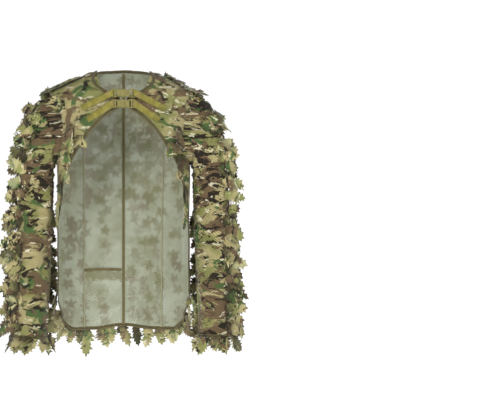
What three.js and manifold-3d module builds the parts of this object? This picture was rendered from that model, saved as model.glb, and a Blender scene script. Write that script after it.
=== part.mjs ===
import * as THREE from 'three';
import { mergeVertices } from 'three/addons/utils/BufferGeometryUtils.js';
import Module from 'manifold-3d';

const { lerp, degToRad, clamp } = THREE.MathUtils;

// A leaf-pattern camouflage over-jacket, hanging as it does when worn.
// Millimetres, +Z up. The front faces -Y and the wearer's left is +X.
// The origin is in the middle of the neck opening, level with the top of the back neck.

// Body, shoulders and neck
const bodyLength = 757;
const bodyHalfWidth = 187;
const bodyHalfDepth = 118;
const shoulderHalfWidth = 212;
const shoulderDrop = 68;
const neckHalfWidth = 80;
const neckHalfDepth = 62;
const neckDip = 14;
const frontEdgeAngle = degToRad(100);
const backSeamHalfWidth = 115;
const crossSeamLevel = 583;
const hemRise = 110;

// Front opening: the V neck, the gap between the chest panels and the arch below them
const neckVDepth = 84;
const frontGapHalf = 15;
const cornerCut = 7;
const archTop = 112;
const archSpring = 350;
const archSideStrip = 15;
const archRoundness = 1.5;
const archEnd = 470;

// Sleeves
const armholeHeight = 196;
const armholeHalfDepth = 66;
const armholeTop = 77;
const elbowLevel = 430;
const cuffLevel = 768;
const sleeveWidth = 102;
const sleeveReach = 318;
const sleeveHalfDepth = 58;
const cuffForward = 42;
const elbowFold = degToRad(45);

// Cloth, tapes and leaf strips
const cloth = 3;
const bindingRadius = 3.5;
const tapeThickness = 2;
const tapeWidth = 10;
const leafThickness = 2.5;
const fringeDrop = 84;
const columnGap = 12;
const farColumnInset = 39;
const leafReach = 40;

// Closures
const webbingWidth = 19;
const webbingThickness = 1.8;
const buckleHeight = 25;
const buckleThickness = 8;
const socketLength = 36;
const plugLength = 30;
const buckleWall = 3;
const prongLength = 21;
const prongThickness = 3;
const prongCatch = 3;
const tongueHeight = 4.4;
const upperBuckleLevel = 76;
const lowerBuckleLevel = 106;

// Clearances
const seamGap = 1;
const layerGap = 1;
const insideGap = 1.8;
const fitGap = 0.5;
const elbowGap = 4;
const armholeGap = 9;

const archHalfWidth = bodyHalfWidth - archSideStrip;

const wasm = await Module();
wasm.setup();

const group = new THREE.Group();
const finishes = {
  net: { color: 0x8a8c62, roughness: 0.95, metalness: 0 },
  binding: { color: 0x55502f, roughness: 0.9, metalness: 0 },
  leaf: { color: 0x7d8a48, roughness: 0.9, metalness: 0 },
  webbing: { color: 0x8f8c3a, roughness: 0.85, metalness: 0 },
  plastic: { color: 0x93925a, roughness: 0.5, metalness: 0 },
};
const sides = [['left', 1], ['right', -1]];

function addPiece(name, geometry, finish) {
  const piece = new THREE.Mesh(geometry, new THREE.MeshStandardMaterial(finishes[finish]));
  piece.name = name;
  group.add(piece);
  return piece;
}

// Solids from grids

function signedVolume(points, faces) {
  let sum = 0;
  for (const [a, b, c] of faces) {
    sum += points[a].dot(points[b].clone().cross(points[c]));
  }
  return sum / 6;
}

function solidFrom(points, faces) {
  const outward = signedVolume(points, faces) > 0 ? faces : faces.map(([a, b, c]) => [a, c, b]);
  const geometry = new THREE.BufferGeometry();
  geometry.setAttribute('position', new THREE.Float32BufferAttribute(points.flatMap((p) => p.toArray()), 3));
  geometry.setIndex(outward.flat());
  geometry.computeVertexNormals();
  return geometry;
}

function quad(faces, a, b, c, d) {
  faces.push([a, b, c], [a, c, d]);
}

// A sheet with a thickness: two skins, each a function of u and v from 0 to 1, joined along their rims.
// A closed sheet meets itself in u, so it is a tube with two rims.
function sheet(nu, nv, outer, inner, closed = false) {
  const columns = closed ? nu : nu + 1;
  const points = [];
  for (const skin of [outer, inner]) {
    for (let j = 0; j <= nv; j++) {
      for (let i = 0; i < columns; i++) points.push(skin(i / nu, j / nv));
    }
  }
  const layer = columns * (nv + 1);
  const at = (i, j, k) => k * layer + j * columns + (i % columns);
  const faces = [];
  for (let i = 0; i < nu; i++) {
    for (let j = 0; j < nv; j++) {
      quad(faces, at(i, j, 0), at(i + 1, j, 0), at(i + 1, j + 1, 0), at(i, j + 1, 0));
      quad(faces, at(i, j, 1), at(i, j + 1, 1), at(i + 1, j + 1, 1), at(i + 1, j, 1));
    }
    quad(faces, at(i, 0, 1), at(i + 1, 0, 1), at(i + 1, 0, 0), at(i, 0, 0));
    quad(faces, at(i, nv, 0), at(i + 1, nv, 0), at(i + 1, nv, 1), at(i, nv, 1));
  }
  if (!closed) {
    for (let j = 0; j < nv; j++) {
      quad(faces, at(0, j, 0), at(0, j + 1, 0), at(0, j + 1, 1), at(0, j, 1));
      quad(faces, at(nu, j, 1), at(nu, j + 1, 1), at(nu, j + 1, 0), at(nu, j, 0));
    }
  }
  return solidFrom(points, faces);
}

function toSolid(geometry) {
  const bare = geometry.clone();
  bare.deleteAttribute('normal');
  bare.deleteAttribute('uv');
  const merged = mergeVertices(bare, 1e-4);
  return new wasm.Manifold(new wasm.Mesh({
    numProp: 3,
    vertProperties: new Float32Array(merged.attributes.position.array),
    triVerts: new Uint32Array(merged.index.array),
  }));
}

function fromSolid(solid) {
  const mesh = solid.getMesh();
  const geometry = new THREE.BufferGeometry();
  geometry.setAttribute('position', new THREE.BufferAttribute(mesh.vertProperties, 3));
  geometry.setIndex(new THREE.BufferAttribute(mesh.triVerts, 1));
  geometry.computeVertexNormals();
  return geometry;
}

function cut(geometry, ...cutters) {
  return fromSolid(cutters.reduce((solid, cutter) => solid.subtract(toSolid(cutter)), toSolid(geometry)));
}

function join(first, ...others) {
  return fromSolid(others.reduce((solid, other) => solid.add(toSolid(other)), toSolid(first)));
}

// An outline in X and Z, pushed along Y from yFrom to yTo
function prismAlongY(outline, yFrom, yTo) {
  const shape = new THREE.Shape(outline.map(([x, z]) => new THREE.Vector2(x, z)));
  const geometry = new THREE.ExtrudeGeometry(shape, { depth: yTo - yFrom, bevelEnabled: false });
  return geometry.rotateX(Math.PI / 2).translate(0, yTo, 0);
}

function box(x, y, z, width, depth, height) {
  return new THREE.BoxGeometry(width, depth, height).translate(x, y, z);
}

// Shape of the body: a rounded section at each level

function smooth(t) {
  const s = clamp(t, 0, 1);
  return s * s * (3 - 2 * s);
}

function halfWidthAt(z) {
  const below = -z - shoulderDrop;
  if (below > 0) return bodyHalfWidth + (shoulderHalfWidth - bodyHalfWidth) * Math.exp(-below / 110);
  return neckHalfWidth + (shoulderHalfWidth - neckHalfWidth) * Math.max(0, -z / shoulderDrop) ** 1.1;
}

function halfDepthAt(z) {
  return neckHalfDepth + (bodyHalfDepth - neckHalfDepth) * (1 - Math.exp(Math.min(z, 0) / 70));
}

function squarenessAt(z) {
  return 2 + 0.35 * smooth(-z / 220);
}

// The angle a is 0 at the centre back and +-180 degrees at the centre front
function torsoSkin(a, z) {
  const power = 2 / squarenessAt(z);
  const x = halfWidthAt(z) * Math.sign(Math.sin(a)) * Math.abs(Math.sin(a)) ** power;
  const y = halfDepthAt(z) * Math.sign(Math.cos(a)) * Math.abs(Math.cos(a)) ** power;
  return new THREE.Vector3(x, y, z);
}

function torsoNormal(a, z) {
  const step = 0.02;
  const around = torsoSkin(a + step, z).sub(torsoSkin(a - step, z));
  const down = torsoSkin(a, z - 1).sub(torsoSkin(a, z + 1));
  return new THREE.Vector3().crossVectors(around, down).normalize();
}

function torsoPoint(a, z, offset) {
  return torsoSkin(a, z).addScaledVector(torsoNormal(a, z), offset);
}

function backAngle(x, z) {
  const share = Math.min(1, Math.abs(x) / halfWidthAt(z));
  return Math.sign(x || 1) * Math.asin(share ** (squarenessAt(z) / 2));
}

function frontAngle(x, z) {
  const a = backAngle(x, z);
  return Math.sign(a) * Math.PI - a;
}

function neckLevel(a) {
  return -neckDip * smooth(Math.abs(a) / (Math.PI * 0.6));
}

function hemLevel(a) {
  const from = degToRad(46);
  return -bodyLength + hemRise * smooth((Math.abs(a) - from) / (frontEdgeAngle - from));
}

// More rows over the curve of the shoulder than down the straight body
function bodyLevel(t, top, bottom) {
  const knee = 0.3;
  if (t < knee) return lerp(top, -shoulderDrop, t / knee);
  return lerp(-shoulderDrop, bottom, (t - knee) / (1 - knee));
}

function bodyPanel(from, to, nu, bottom) {
  const trim = seamGap / 2 / neckHalfWidth;
  const skin = (offset) => (u, v) => {
    const a = lerp(from + trim, to - trim, u);
    return torsoPoint(a, bodyLevel(v, neckLevel(a), bottom(a)), offset);
  };
  return sheet(nu, 15, skin(cloth), skin(0));
}

// Front opening

function archPoint(turn) {
  const x = archHalfWidth * Math.sin(turn) ** (2 / archRoundness);
  const rise = (archSpring - archTop) * Math.cos(turn) ** (2 / archRoundness);
  return new THREE.Vector2(x, -archSpring + rise);
}

function archPoints(count, inset) {
  const points = [];
  for (let i = 1; i <= count; i++) {
    const turn = (i / count) * Math.PI / 2;
    const p = archPoint(turn);
    const along = archPoint(turn).sub(archPoint(turn - 0.01)).normalize();
    if (p.x > frontGapHalf) points.push([p.x + along.y * inset, p.y - along.x * inset]);
  }
  return points;
}

function archHalfAt(z) {
  const rise = Math.max(0, (z + archSpring) / (archSpring - archTop));
  return archHalfWidth * Math.max(0, 1 - rise ** archRoundness) ** (1 / archRoundness);
}

function neckVPoints(inset) {
  return [
    [neckHalfWidth - 1 - inset, -12],
    [neckHalfWidth - 20 - inset, -neckVDepth + 18 + inset],
    [neckHalfWidth - 40, -neckVDepth + 4 + inset],
    [frontGapHalf + cornerCut, -neckVDepth + inset],
  ];
}

function frontCutter() {
  const half = [
    [neckHalfWidth + 2, 30],
    ...neckVPoints(0),
    [frontGapHalf, -neckVDepth - cornerCut],
    [frontGapHalf, -archTop - 2],
    ...archPoints(14, 0),
    [archHalfWidth + 4, -archSpring - 80],
    [shoulderHalfWidth + 30, -archEnd],
    [shoulderHalfWidth + 30, -archEnd - 60],
  ];
  const mirrored = half.map(([x, z]) => [-x, z]).reverse();
  return prismAlongY([...half, ...mirrored], -2 * bodyHalfDepth, -1);
}

function armholeCutter(side) {
  const reach = shoulderHalfWidth + 40;
  const hole = new THREE.CylinderGeometry(1, 1, reach - neckHalfWidth, 20);
  hole.rotateZ(Math.PI / 2);
  hole.scale(1, armholeHalfDepth, armholeHeight / 2);
  return hole.translate(side * (reach + neckHalfWidth) / 2, 0, -armholeTop - armholeHeight / 2);
}

for (const [name, side] of sides) {
  const seam = side * backAngle(backSeamHalfWidth, -bodyLength / 2);
  const edge = side * frontEdgeAngle;
  const armhole = armholeCutter(side);
  const ends = (a, b) => (side > 0 ? [a, b] : [b, a]);
  addPiece(`back_panel_${name}`, bodyPanel(...ends(0, seam), 4, hemLevel), 'net');
  addPiece(`side_panel_${name}`, cut(bodyPanel(...ends(seam, edge), 7, hemLevel), armhole), 'net');
  const chest = bodyPanel(...ends(edge, side * Math.PI), 10, () => -archEnd);
  addPiece(`front_panel_${name}`, cut(chest, armhole, frontCutter()), 'net');
}

// Bindings run along the cut edges, just clear of the cloth

function binding(points, steps) {
  const path = new THREE.CatmullRomCurve3(points);
  const round = new THREE.Shape();
  round.absarc(0, 0, bindingRadius, 0, 2 * Math.PI);
  const options = { steps, curveSegments: 4, bevelEnabled: false, extrudePath: path };
  return new THREE.ExtrudeGeometry(round, options);
}

const edgeClear = bindingRadius + 2.5;
const onEdge = (a, z) => torsoPoint(a, z, cloth / 2);

function neckBindingPoints() {
  const points = [];
  for (let i = -10; i <= 10; i++) {
    const a = (i / 10) * degToRad(96);
    const p = torsoPoint(a, neckLevel(a), cloth / 2);
    points.push(p.setZ(p.z + edgeClear));
  }
  return points;
}

function frontBindingPoints(side) {
  const gapX = frontGapHalf - edgeClear;
  const level = [
    ...neckVPoints(edgeClear),
    [gapX, -neckVDepth - 2],
    [gapX, -archTop - 3],
    ...archPoints(9, edgeClear + 1),
    [archHalfWidth + 3 - edgeClear, -archSpring - 78],
  ];
  const points = level.map(([x, z]) => onEdge(frontAngle(side * x, z), z));
  const edge = side * (frontEdgeAngle + (edgeClear + 1) / bodyHalfDepth);
  const bottom = hemLevel(frontEdgeAngle) + 12;
  for (const t of [0, 0.2, 0.4, 0.6, 0.8, 1]) {
    const z = lerp(-archEnd - 10, bottom, t);
    points.push(onEdge(edge, z));
  }
  return points;
}

function hemBindingPoints() {
  const points = [];
  const reach = frontEdgeAngle + 0.01;
  for (let i = -14; i <= 14; i++) {
    const a = (i / 14) * reach;
    const z = hemLevel(a) - edgeClear - 2.5 * Math.abs(i / 14);
    points.push(onEdge(a, z));
  }
  return points;
}

addPiece('neck_binding', binding(neckBindingPoints(), 26), 'binding');
for (const [name, side] of sides) {
  addPiece(`front_edge_binding_${name}`, binding(frontBindingPoints(side), 34), 'binding');
}
addPiece('hem_binding', binding(hemBindingPoints(), 36), 'binding');

// Seam tapes lie on the inside of the back

function insideTape(xAt, fromLevel, toLevel, rows) {
  const skin = (offset) => (u, v) => {
    const z = lerp(fromLevel, toLevel, v);
    const x = xAt + (u - 0.5) * tapeWidth;
    return torsoPoint(backAngle(x, z), z, offset);
  };
  return sheet(2, rows, skin(-insideGap), skin(-insideGap - tapeThickness));
}

function crossTape() {
  const skin = (offset) => (u, v) => {
    const z = -crossSeamLevel + (v - 0.5) * tapeWidth;
    const x = -lerp(tapeWidth, backSeamHalfWidth - tapeWidth, u);
    return torsoPoint(backAngle(x, z), z, offset);
  };
  return sheet(4, 1, skin(-insideGap), skin(-insideGap - tapeThickness));
}

addPiece('centre_back_tape', insideTape(0, -14, -bodyLength + 8, 16), 'binding');
addPiece('cross_seam_tape', crossTape(), 'binding');
for (const [name, side] of sides) {
  const tape = insideTape(side * backSeamHalfWidth, -60, -bodyLength + 20, 14);
  addPiece(`back_seam_tape_${name}`, tape, 'binding');
}

// Leaf strips: tiers of cut leaves, each tier lying close at its top and standing off at its tips

function leafTiers(tiers, across, skinAt) {
  const rows = 2 * tiers;
  const skin = (thickness) => (u, v) => {
    const row = Math.round(v * rows);
    const tip = row % 2;
    const along = (Math.floor(row / 2) + tip * 0.8) / tiers;
    return skinAt(u, along, tip, layerGap + thickness);
  };
  return sheet(across, rows, skin(leafThickness), skin(0));
}

function backStrip(xAt, width, fromLevel, toLevel, tiers, reach) {
  return leafTiers(tiers, 4, (u, along, tip, gap) => {
    const z = lerp(fromLevel, toLevel, along);
    const spread = width * (0.72 + 0.28 * tip);
    const x = xAt + (u - 0.5) * spread;
    return torsoPoint(backAngle(x, z), z, cloth + gap + tip * reach);
  });
}

function frontStrip(side) {
  return leafTiers(5, 3, (u, along, tip, gap) => {
    const z = lerp(-archTop - 30, -archEnd + 45, along);
    const outer = bodyHalfWidth - lerp(20, 5, smooth((along - 0.45) / 0.3));
    const inner = Math.min(archHalfAt(z) + 2 * bindingRadius, outer - 8);
    const x = side * lerp(inner, outer, u);
    return torsoPoint(frontAngle(x, z), z, cloth + gap + bindingRadius + tip * 10);
  });
}

function shoulderStrip(side) {
  return leafTiers(3, 6, (u, along, tip, gap) => {
    const z = lerp(-shoulderDrop * 0.3, -shoulderDrop * 0.93, along);
    const a = side * lerp(Math.PI * 0.3, Math.PI * 0.7, u);
    return torsoPoint(a, z, cloth + gap + tip * 14);
  });
}

const backColumns = [['centre', 0], ['left', 1], ['right', -1], ['far_left', 2], ['far_right', -2]];
const columnPitch = (bodyHalfWidth - farColumnInset) / 2;
const columnWidth = columnPitch - columnGap;
for (const [name, place] of backColumns) {
  const x = place * columnPitch;
  const hem = hemLevel(backAngle(Math.abs(x) + columnWidth / 2, -bodyLength / 2));
  const tiers = backStrip(x, columnWidth, -24 - 22 * Math.abs(place), hem + 30, 9, 22);
  addPiece(`leaf_strip_back_${name}`, tiers, 'leaf');
}
for (const [name, side] of sides) {
  addPiece(`leaf_strip_front_${name}`, frontStrip(side), 'leaf');
  addPiece(`leaf_strip_shoulder_${name}`, shoulderStrip(side), 'leaf');
}

// Leaves hanging below the hem
const hemFringe = leafSkirt(30);
addPiece('hem_leaf_fringe', hemFringe, 'leaf');

function leafSkirt(teeth) {
  const reach = degToRad(92);
  const skin = (thickness) => (u, v) => {
    const a = lerp(-reach, reach, u);
    const long = Math.round(u * teeth) % 2;
    const top = hemLevel(a) - 2 * bindingRadius - 4 - 2.5 * Math.abs(a);
    const drop = v * (fringeDrop - 16) * (long ? 1 : 0.45);
    return torsoPoint(a, top - drop, cloth / 2 + thickness + 16 * v);
  };
  return sheet(teeth, 1, skin(leafThickness), skin(0));
}

// Sleeves: an outer and an inner rail, with an oval section between them

function rail(points) {
  return new THREE.CatmullRomCurve3(points.map(([x, z]) => new THREE.Vector3(x, 0, z)));
}

const armholeBottom = armholeTop + armholeHeight;
const underarm = halfWidthAt(-armholeBottom) + armholeGap;
const elbowOuter = sleeveReach - 12;
const elbowInner = elbowOuter - sleeveWidth + 3;
const upperOuterRail = rail([
  [shoulderHalfWidth + 18, -armholeTop - 1],
  [shoulderHalfWidth + 50, -armholeTop - 35],
  [shoulderHalfWidth + 72, -armholeTop - 95],
  [elbowOuter - 11, -armholeTop - 164],
  [elbowOuter - 5, -(armholeBottom + 42)],
  [elbowOuter, -elbowLevel],
]);
const upperInnerRail = rail([
  [underarm, -armholeBottom],
  [underarm, -armholeBottom - 12],
  [underarm + 1, -armholeBottom - 37],
  [underarm + 3, -armholeBottom - 72],
  [elbowInner - 3, -armholeBottom - 112],
  [elbowInner, -elbowLevel],
]);
const lowerOuterRail = rail([
  [elbowOuter, -elbowLevel],
  [elbowOuter + 6, -(elbowLevel + cuffLevel) / 2],
  [sleeveReach, -cuffLevel],
]);
const lowerInnerRail = rail([
  [elbowInner, -elbowLevel],
  [elbowInner + 4, -(elbowLevel + cuffLevel) / 2],
  [sleeveReach - sleeveWidth, -cuffLevel],
]);

// turn is 0 on the outer side of the sleeve, a quarter turn at its back
function sleeveSkin(side, outerRail, innerRail, forward, turn, t) {
  const outer = outerRail.getPoint(t);
  const inner = innerRail.getPoint(t);
  const middle = outer.clone().add(inner).multiplyScalar(0.5);
  const half = outer.clone().sub(inner).multiplyScalar(0.5);
  const depth = lerp(armholeHalfDepth - 4, sleeveHalfDepth, smooth(t * 1.6));
  const p = middle.addScaledVector(half, Math.cos(turn));
  p.y = depth * Math.sin(turn) - forward * t;
  return new THREE.Vector3(side * p.x, p.y, p.z);
}

// The sleeve head is drawn in to lie around the armhole
function upperSkin(side, turn, t) {
  const p = sleeveSkin(side, upperOuterRail, upperInnerRail, 0, turn, t);
  const wallShare = Math.min(1, Math.abs(p.y) / halfDepthAt(p.z)) ** squarenessAt(p.z);
  const wall = halfWidthAt(p.z) * (1 - wallShare) ** (1 / squarenessAt(p.z));
  const pull = 1 - smooth(t / 0.42);
  const inward = Math.max(0, Math.abs(p.x) - wall - armholeGap) * pull * Math.abs(Math.sin(turn)) ** 1.5;
  p.x -= side * inward;
  return p;
}

function lowerSkin(side, turn, t) {
  return sleeveSkin(side, lowerOuterRail, lowerInnerRail, cuffForward, turn, t);
}

function offsetSkin(skin, side, turn, t, offset) {
  const around = skin(side, turn + 0.02, t).sub(skin(side, turn - 0.02, t));
  const along = skin(side, turn, Math.min(1, t + 0.01)).sub(skin(side, turn, Math.max(0, t - 0.01)));
  const normal = new THREE.Vector3().crossVectors(around, along).normalize().multiplyScalar(-side);
  return skin(side, turn, t).addScaledVector(normal, offset);
}

// The tube ends stand apart at the elbow, with a wedge at the front for the fold
function foldRoom(y) {
  return elbowGap + Math.max(0, -y) * Math.tan(elbowFold / 2);
}

function upperSleevePoint(side, turn, t, offset) {
  const room = foldRoom(sleeveHalfDepth * Math.sin(turn));
  const reach = 1 - room / (elbowLevel - armholeBottom) * (0.72 + 0.28 * Math.abs(Math.sin(turn)));
  return offsetSkin(upperSkin, side, turn, t * reach, offset);
}

function lowerSleevePoint(side, turn, t, offset) {
  const start = foldRoom(sleeveHalfDepth * Math.sin(turn)) / (cuffLevel - elbowLevel);
  return offsetSkin(lowerSkin, side, turn, lerp(start, 1, t), offset);
}

function sleeveTube(pointAt, side, rows) {
  const skin = (offset) => (u, v) => pointAt(side, 2 * Math.PI * u, v, offset);
  return sheet(18, rows, skin(cloth), skin(0), true);
}

function sleeveTape(pointAt, side, turn, from, to, rows, width) {
  const skin = (offset) => (u, v) => {
    const at = turn + (u - 0.5) * width / sleeveHalfDepth;
    return pointAt(side, at, lerp(from, to, v), offset);
  };
  return sheet(2, rows, skin(cloth + layerGap + tapeThickness), skin(cloth + layerGap));
}

function sleeveLeaves(pointAt, side, turn, spread, from, to, tiers, reach) {
  return leafTiers(tiers, 6, (u, along, tip, gap) => {
    const at = turn + (u - 0.5) * spread * (0.8 + 0.2 * tip);
    const t = lerp(from, to, along);
    const extra = tip * reach * Math.sin(Math.PI * (0.25 + u / 2));
    return pointAt(side, at, t, cloth + tapeThickness + 2 * layerGap + gap + extra);
  });
}

function cuffBinding(side) {
  const from = 1 - tapeWidth / (cuffLevel - elbowLevel);
  const skin = (offset) => (u, v) => lowerSleevePoint(side, 2 * Math.PI * u, lerp(from, 1, v), offset);
  return sheet(18, 1, skin(cloth + layerGap + tapeThickness), skin(cloth + layerGap), true);
}

function cuffFringe(side) {
  const teeth = 18;
  const skin = (thickness) => (u, v) => {
    const turn = 2 * Math.PI * u;
    const p = lowerSleevePoint(side, turn, 1, thickness + 12 * v);
    const long = Math.round(u * teeth) % 2;
    p.z -= 4 + v * (long ? 44 : 16);
    return p;
  };
  return sheet(teeth, 1, skin(leafThickness), skin(0), true);
}

for (const [name, side] of sides) {
  addPiece(`sleeve_upper_${name}`, sleeveTube(upperSleevePoint, side, 8), 'net');
  addPiece(`sleeve_lower_${name}`, sleeveTube(lowerSleevePoint, side, 5), 'net');
  const upperTape = sleeveTape(upperSleevePoint, side, 0, 0.1, 0.97, 9, tapeWidth);
  const lowerTape = sleeveTape(lowerSleevePoint, side, 0, 0.03, 0.95, 5, tapeWidth);
  addPiece(`sleeve_tape_upper_${name}`, upperTape, 'binding');
  addPiece(`sleeve_tape_lower_${name}`, lowerTape, 'binding');
  const upperLeaves = sleeveLeaves(upperSleevePoint, side, 0.3, 2.0, 0.12, 0.9, 5, leafReach);
  const lowerLeaves = sleeveLeaves(lowerSleevePoint, side, 0.3, 2.0, 0.08, 0.92, 5, leafReach - 4);
  addPiece(`leaf_strip_sleeve_upper_${name}`, upperLeaves, 'leaf');
  addPiece(`leaf_strip_sleeve_lower_${name}`, lowerLeaves, 'leaf');
  addPiece(`cuff_binding_${name}`, cuffBinding(side), 'binding');
  addPiece(`cuff_leaf_fringe_${name}`, cuffFringe(side), 'leaf');
}

// Chest closures: webbing straps sewn to the chest panels and side-release buckles between them

function buckleFace(level) {
  const panelFace = halfDepthAt(-level - buckleHeight / 2) + cloth / 2 + bindingRadius;
  return -panelFace - 2 * layerGap - buckleThickness / 2;
}

function slot(x, width) {
  return box(x, 0, 0, width, 2 * buckleThickness, webbingWidth + 1);
}

// Local frame: X along the webbing with the mouth of the socket at 0, Z across it
function socketShape() {
  const body = box(-socketLength / 2, 0, 0, socketLength, buckleThickness, buckleHeight);
  const cavityDepth = prongLength + 3;
  const inside = buckleThickness - 2 * 1.6;
  const cavity = box(-cavityDepth / 2 + 1, 0, 0, cavityDepth + 2, inside, buckleHeight - 2 * buckleWall);
  const window = box(-prongLength + 5, 0, 0, 12, inside, buckleHeight + 4);
  return cut(body, cavity, window, slot(-socketLength + 5, 4));
}

function plugShape() {
  const base = box(plugLength / 2 + fitGap, 0, 0, plugLength, buckleThickness, buckleHeight);
  const tongue = box(-prongLength / 2 + 2, 0, 0, prongLength, 3, tongueHeight);
  return cut(join(base, tongue), slot(plugLength - 15, 4), slot(plugLength - 6, 4));
}

function prongShape(up) {
  const outer = buckleHeight / 2 - buckleWall - fitGap;
  const inner = outer - prongThickness;
  const back = -prongLength;
  const outline = [
    [-fitGap, inner], [-fitGap, outer], [back + 9, outer], [back + 9, outer + prongCatch - fitGap],
    [back + 5, outer + prongCatch - fitGap], [back, outer - 0.5], [back, inner],
  ];
  const turned = outline.map(([x, z]) => [x, up * z]);
  return prismAlongY(turned, -1.5, 1.5);
}

function strap(side, sewn, buckled, level) {
  const [sewnX, sewnLevel] = sewn;
  const [endX, endLevel] = buckled;
  const along = new THREE.Vector2(endX - sewnX, sewnLevel - endLevel).normalize();
  const skin = (thickness) => (u, v) => {
    const bend = smooth((v - 0.55) / 0.45);
    const across = (u - 0.5) * webbingWidth;
    const x = lerp(sewnX, endX, v) - across * along.y * (1 - bend);
    const z = -lerp(sewnLevel, endLevel, v) + across * lerp(along.x, -1, bend);
    const lying = torsoPoint(frontAngle(side * x, z), z, cloth + layerGap + thickness);
    const flat = buckleFace(level) + webbingThickness / 2 - thickness;
    return new THREE.Vector3(lying.x, lerp(lying.y, flat, bend), lying.z);
  };
  return sheet(2, 8, skin(webbingThickness), skin(0));
}

const closures = [
  { name: 'upper', level: upperBuckleLevel, sewn: [118, 119] },
  { name: 'lower', level: lowerBuckleLevel, sewn: [100, 152] },
];
const mouthShift = 3;
for (const { name, level, sewn } of closures) {
  const place = (geometry) => geometry.translate(mouthShift, buckleFace(level), -level);
  addPiece(`${name}_buckle_socket`, place(socketShape()), 'plastic');
  addPiece(`${name}_buckle_plug`, place(plugShape()), 'plastic');
  addPiece(`${name}_buckle_prong_top`, place(prongShape(1)), 'plastic');
  addPiece(`${name}_buckle_prong_bottom`, place(prongShape(-1)), 'plastic');
  const leftEnd = [plugLength + mouthShift + 2 * fitGap + 1, level];
  const rightEnd = [socketLength - mouthShift + fitGap + 1, level];
  addPiece(`${name}_strap_left`, strap(1, sewn, leftEnd, level), 'webbing');
  addPiece(`${name}_strap_right`, strap(-1, sewn, rightEnd, level), 'webbing');
}

export default group;
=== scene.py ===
import math
import bmesh
import bpy
import numpy as np
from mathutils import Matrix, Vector


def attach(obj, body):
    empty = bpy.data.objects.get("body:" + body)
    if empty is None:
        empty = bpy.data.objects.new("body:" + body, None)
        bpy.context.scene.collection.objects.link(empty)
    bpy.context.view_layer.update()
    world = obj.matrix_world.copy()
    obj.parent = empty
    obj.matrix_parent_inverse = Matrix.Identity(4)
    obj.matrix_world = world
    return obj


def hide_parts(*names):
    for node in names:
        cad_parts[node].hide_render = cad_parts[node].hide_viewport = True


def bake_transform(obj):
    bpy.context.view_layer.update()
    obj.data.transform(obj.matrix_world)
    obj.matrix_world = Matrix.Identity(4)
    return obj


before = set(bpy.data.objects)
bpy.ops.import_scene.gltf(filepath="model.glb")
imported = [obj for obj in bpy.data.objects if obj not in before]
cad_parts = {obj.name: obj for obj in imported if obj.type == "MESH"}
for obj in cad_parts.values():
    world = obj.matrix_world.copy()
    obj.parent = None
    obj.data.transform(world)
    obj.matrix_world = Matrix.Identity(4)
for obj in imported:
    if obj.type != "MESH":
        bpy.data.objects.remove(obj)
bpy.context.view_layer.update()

# ---- Camera ----
# The jacket hangs in front of a level camera with a long lens, a little left of the middle of
# the frame. The camera is turned, not shifted, so the jacket is centred from other sides.
def in_scene(name, data):
    obj = bpy.data.objects.new(name, data)
    bpy.context.collection.objects.link(obj)
    return obj


VIEW_DISTANCE = 4.83
VIEW_WIDTH = 1.45
SIDE_STEP = 0.367
EYE_LEVEL = -0.406
SENSOR = 36.0
camera_data = bpy.data.cameras.new("studio_camera")
camera_data.sensor_width = SENSOR
camera_data.lens = SENSOR * VIEW_DISTANCE / VIEW_WIDTH
camera = in_scene("studio_camera", camera_data)
camera.location = (0.0, -VIEW_DISTANCE, EYE_LEVEL)
camera.rotation_euler = (math.pi / 2, 0.0, -math.atan2(SIDE_STEP, VIEW_DISTANCE))
bpy.context.scene.camera = camera

# ---- Body cloth ----
# The body is cut from open polyester net, camouflage on the outside and pale on the inside:
# two back panels, two side panels round to the front edge, and two chest panels whose lower
# edges make the arch. The cut edges are bound and the seams are sewn to the tapes further down.
BODY_LENGTH = 0.757
BODY_HALF_WIDTH = 0.187
BODY_HALF_DEPTH = 0.118
SHOULDER_HALF_WIDTH = 0.212
SHOULDER_DROP = 0.068
NECK_HALF_WIDTH = 0.080
NECK_HALF_DEPTH = 0.062
NECK_DIP = 0.014
NECK_V_DEPTH = 0.084
FRONT_EDGE = math.radians(100)
BACK_SEAM_X = 0.115
CROSS_SEAM_LEVEL = -0.583
HEM_RISE = 0.110
GAP_HALF = 0.015
ARCH_TOP = 0.112
ARCH_SPRING = 0.350
ARCH_HALF_WIDTH = 0.172
ARCH_ROUNDNESS = 1.5
ARCH_END = 0.470
NECK_V_LEVELS = (0.010, 0.066, 0.080, NECK_V_DEPTH, 0.091)
NECK_V_HALF_WIDTHS = (0.079, 0.060, 0.040, 0.024, GAP_HALF)
ARMHOLE_TOP = -0.077
ARMHOLE_BOTTOM = -0.273
ARMHOLE_HALF_DEPTH = 0.066
CLOTH_MIDDLE = 0.0015
NET_THICKNESS = 0.0008
NET_PITCH = 0.0050
HOLE_EDGE = (0.10, 0.13)
SHOULDER_SETTLE = 0.110
NECK_SETTLE = 0.070
SQUARE_LEVEL = 0.220
SIDE_LEAN = 0.12
HEM_RISE_START = math.radians(46)
SEAM_LIFT = 0.010
TURN_STEP = 0.02
SIDES = (("left", 1), ("right", -1))


def lerp(a, b, t):
    return a + (b - a) * t


def smooth(t):
    s = np.clip(t, 0.0, 1.0)
    return s * s * (3 - 2 * s)


def unit(vectors):
    size = np.linalg.norm(vectors, axis=-1, keepdims=True)
    return vectors / np.maximum(size, 1e-12)


def signed_power(value, power):
    """A power that keeps its sign; it squares off or rounds a circle's sine and cosine."""
    return np.sign(value) * np.abs(value) ** power


def body_half_width(z):
    below = np.maximum(-z - SHOULDER_DROP, 0)
    wall = BODY_HALF_WIDTH + (SHOULDER_HALF_WIDTH - BODY_HALF_WIDTH) * np.exp(-below / SHOULDER_SETTLE)
    slope = np.clip(-z / SHOULDER_DROP, 0, 1) ** 1.1
    shoulder = lerp(NECK_HALF_WIDTH, SHOULDER_HALF_WIDTH, slope)
    return np.where(-z > SHOULDER_DROP, wall, shoulder)


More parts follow.
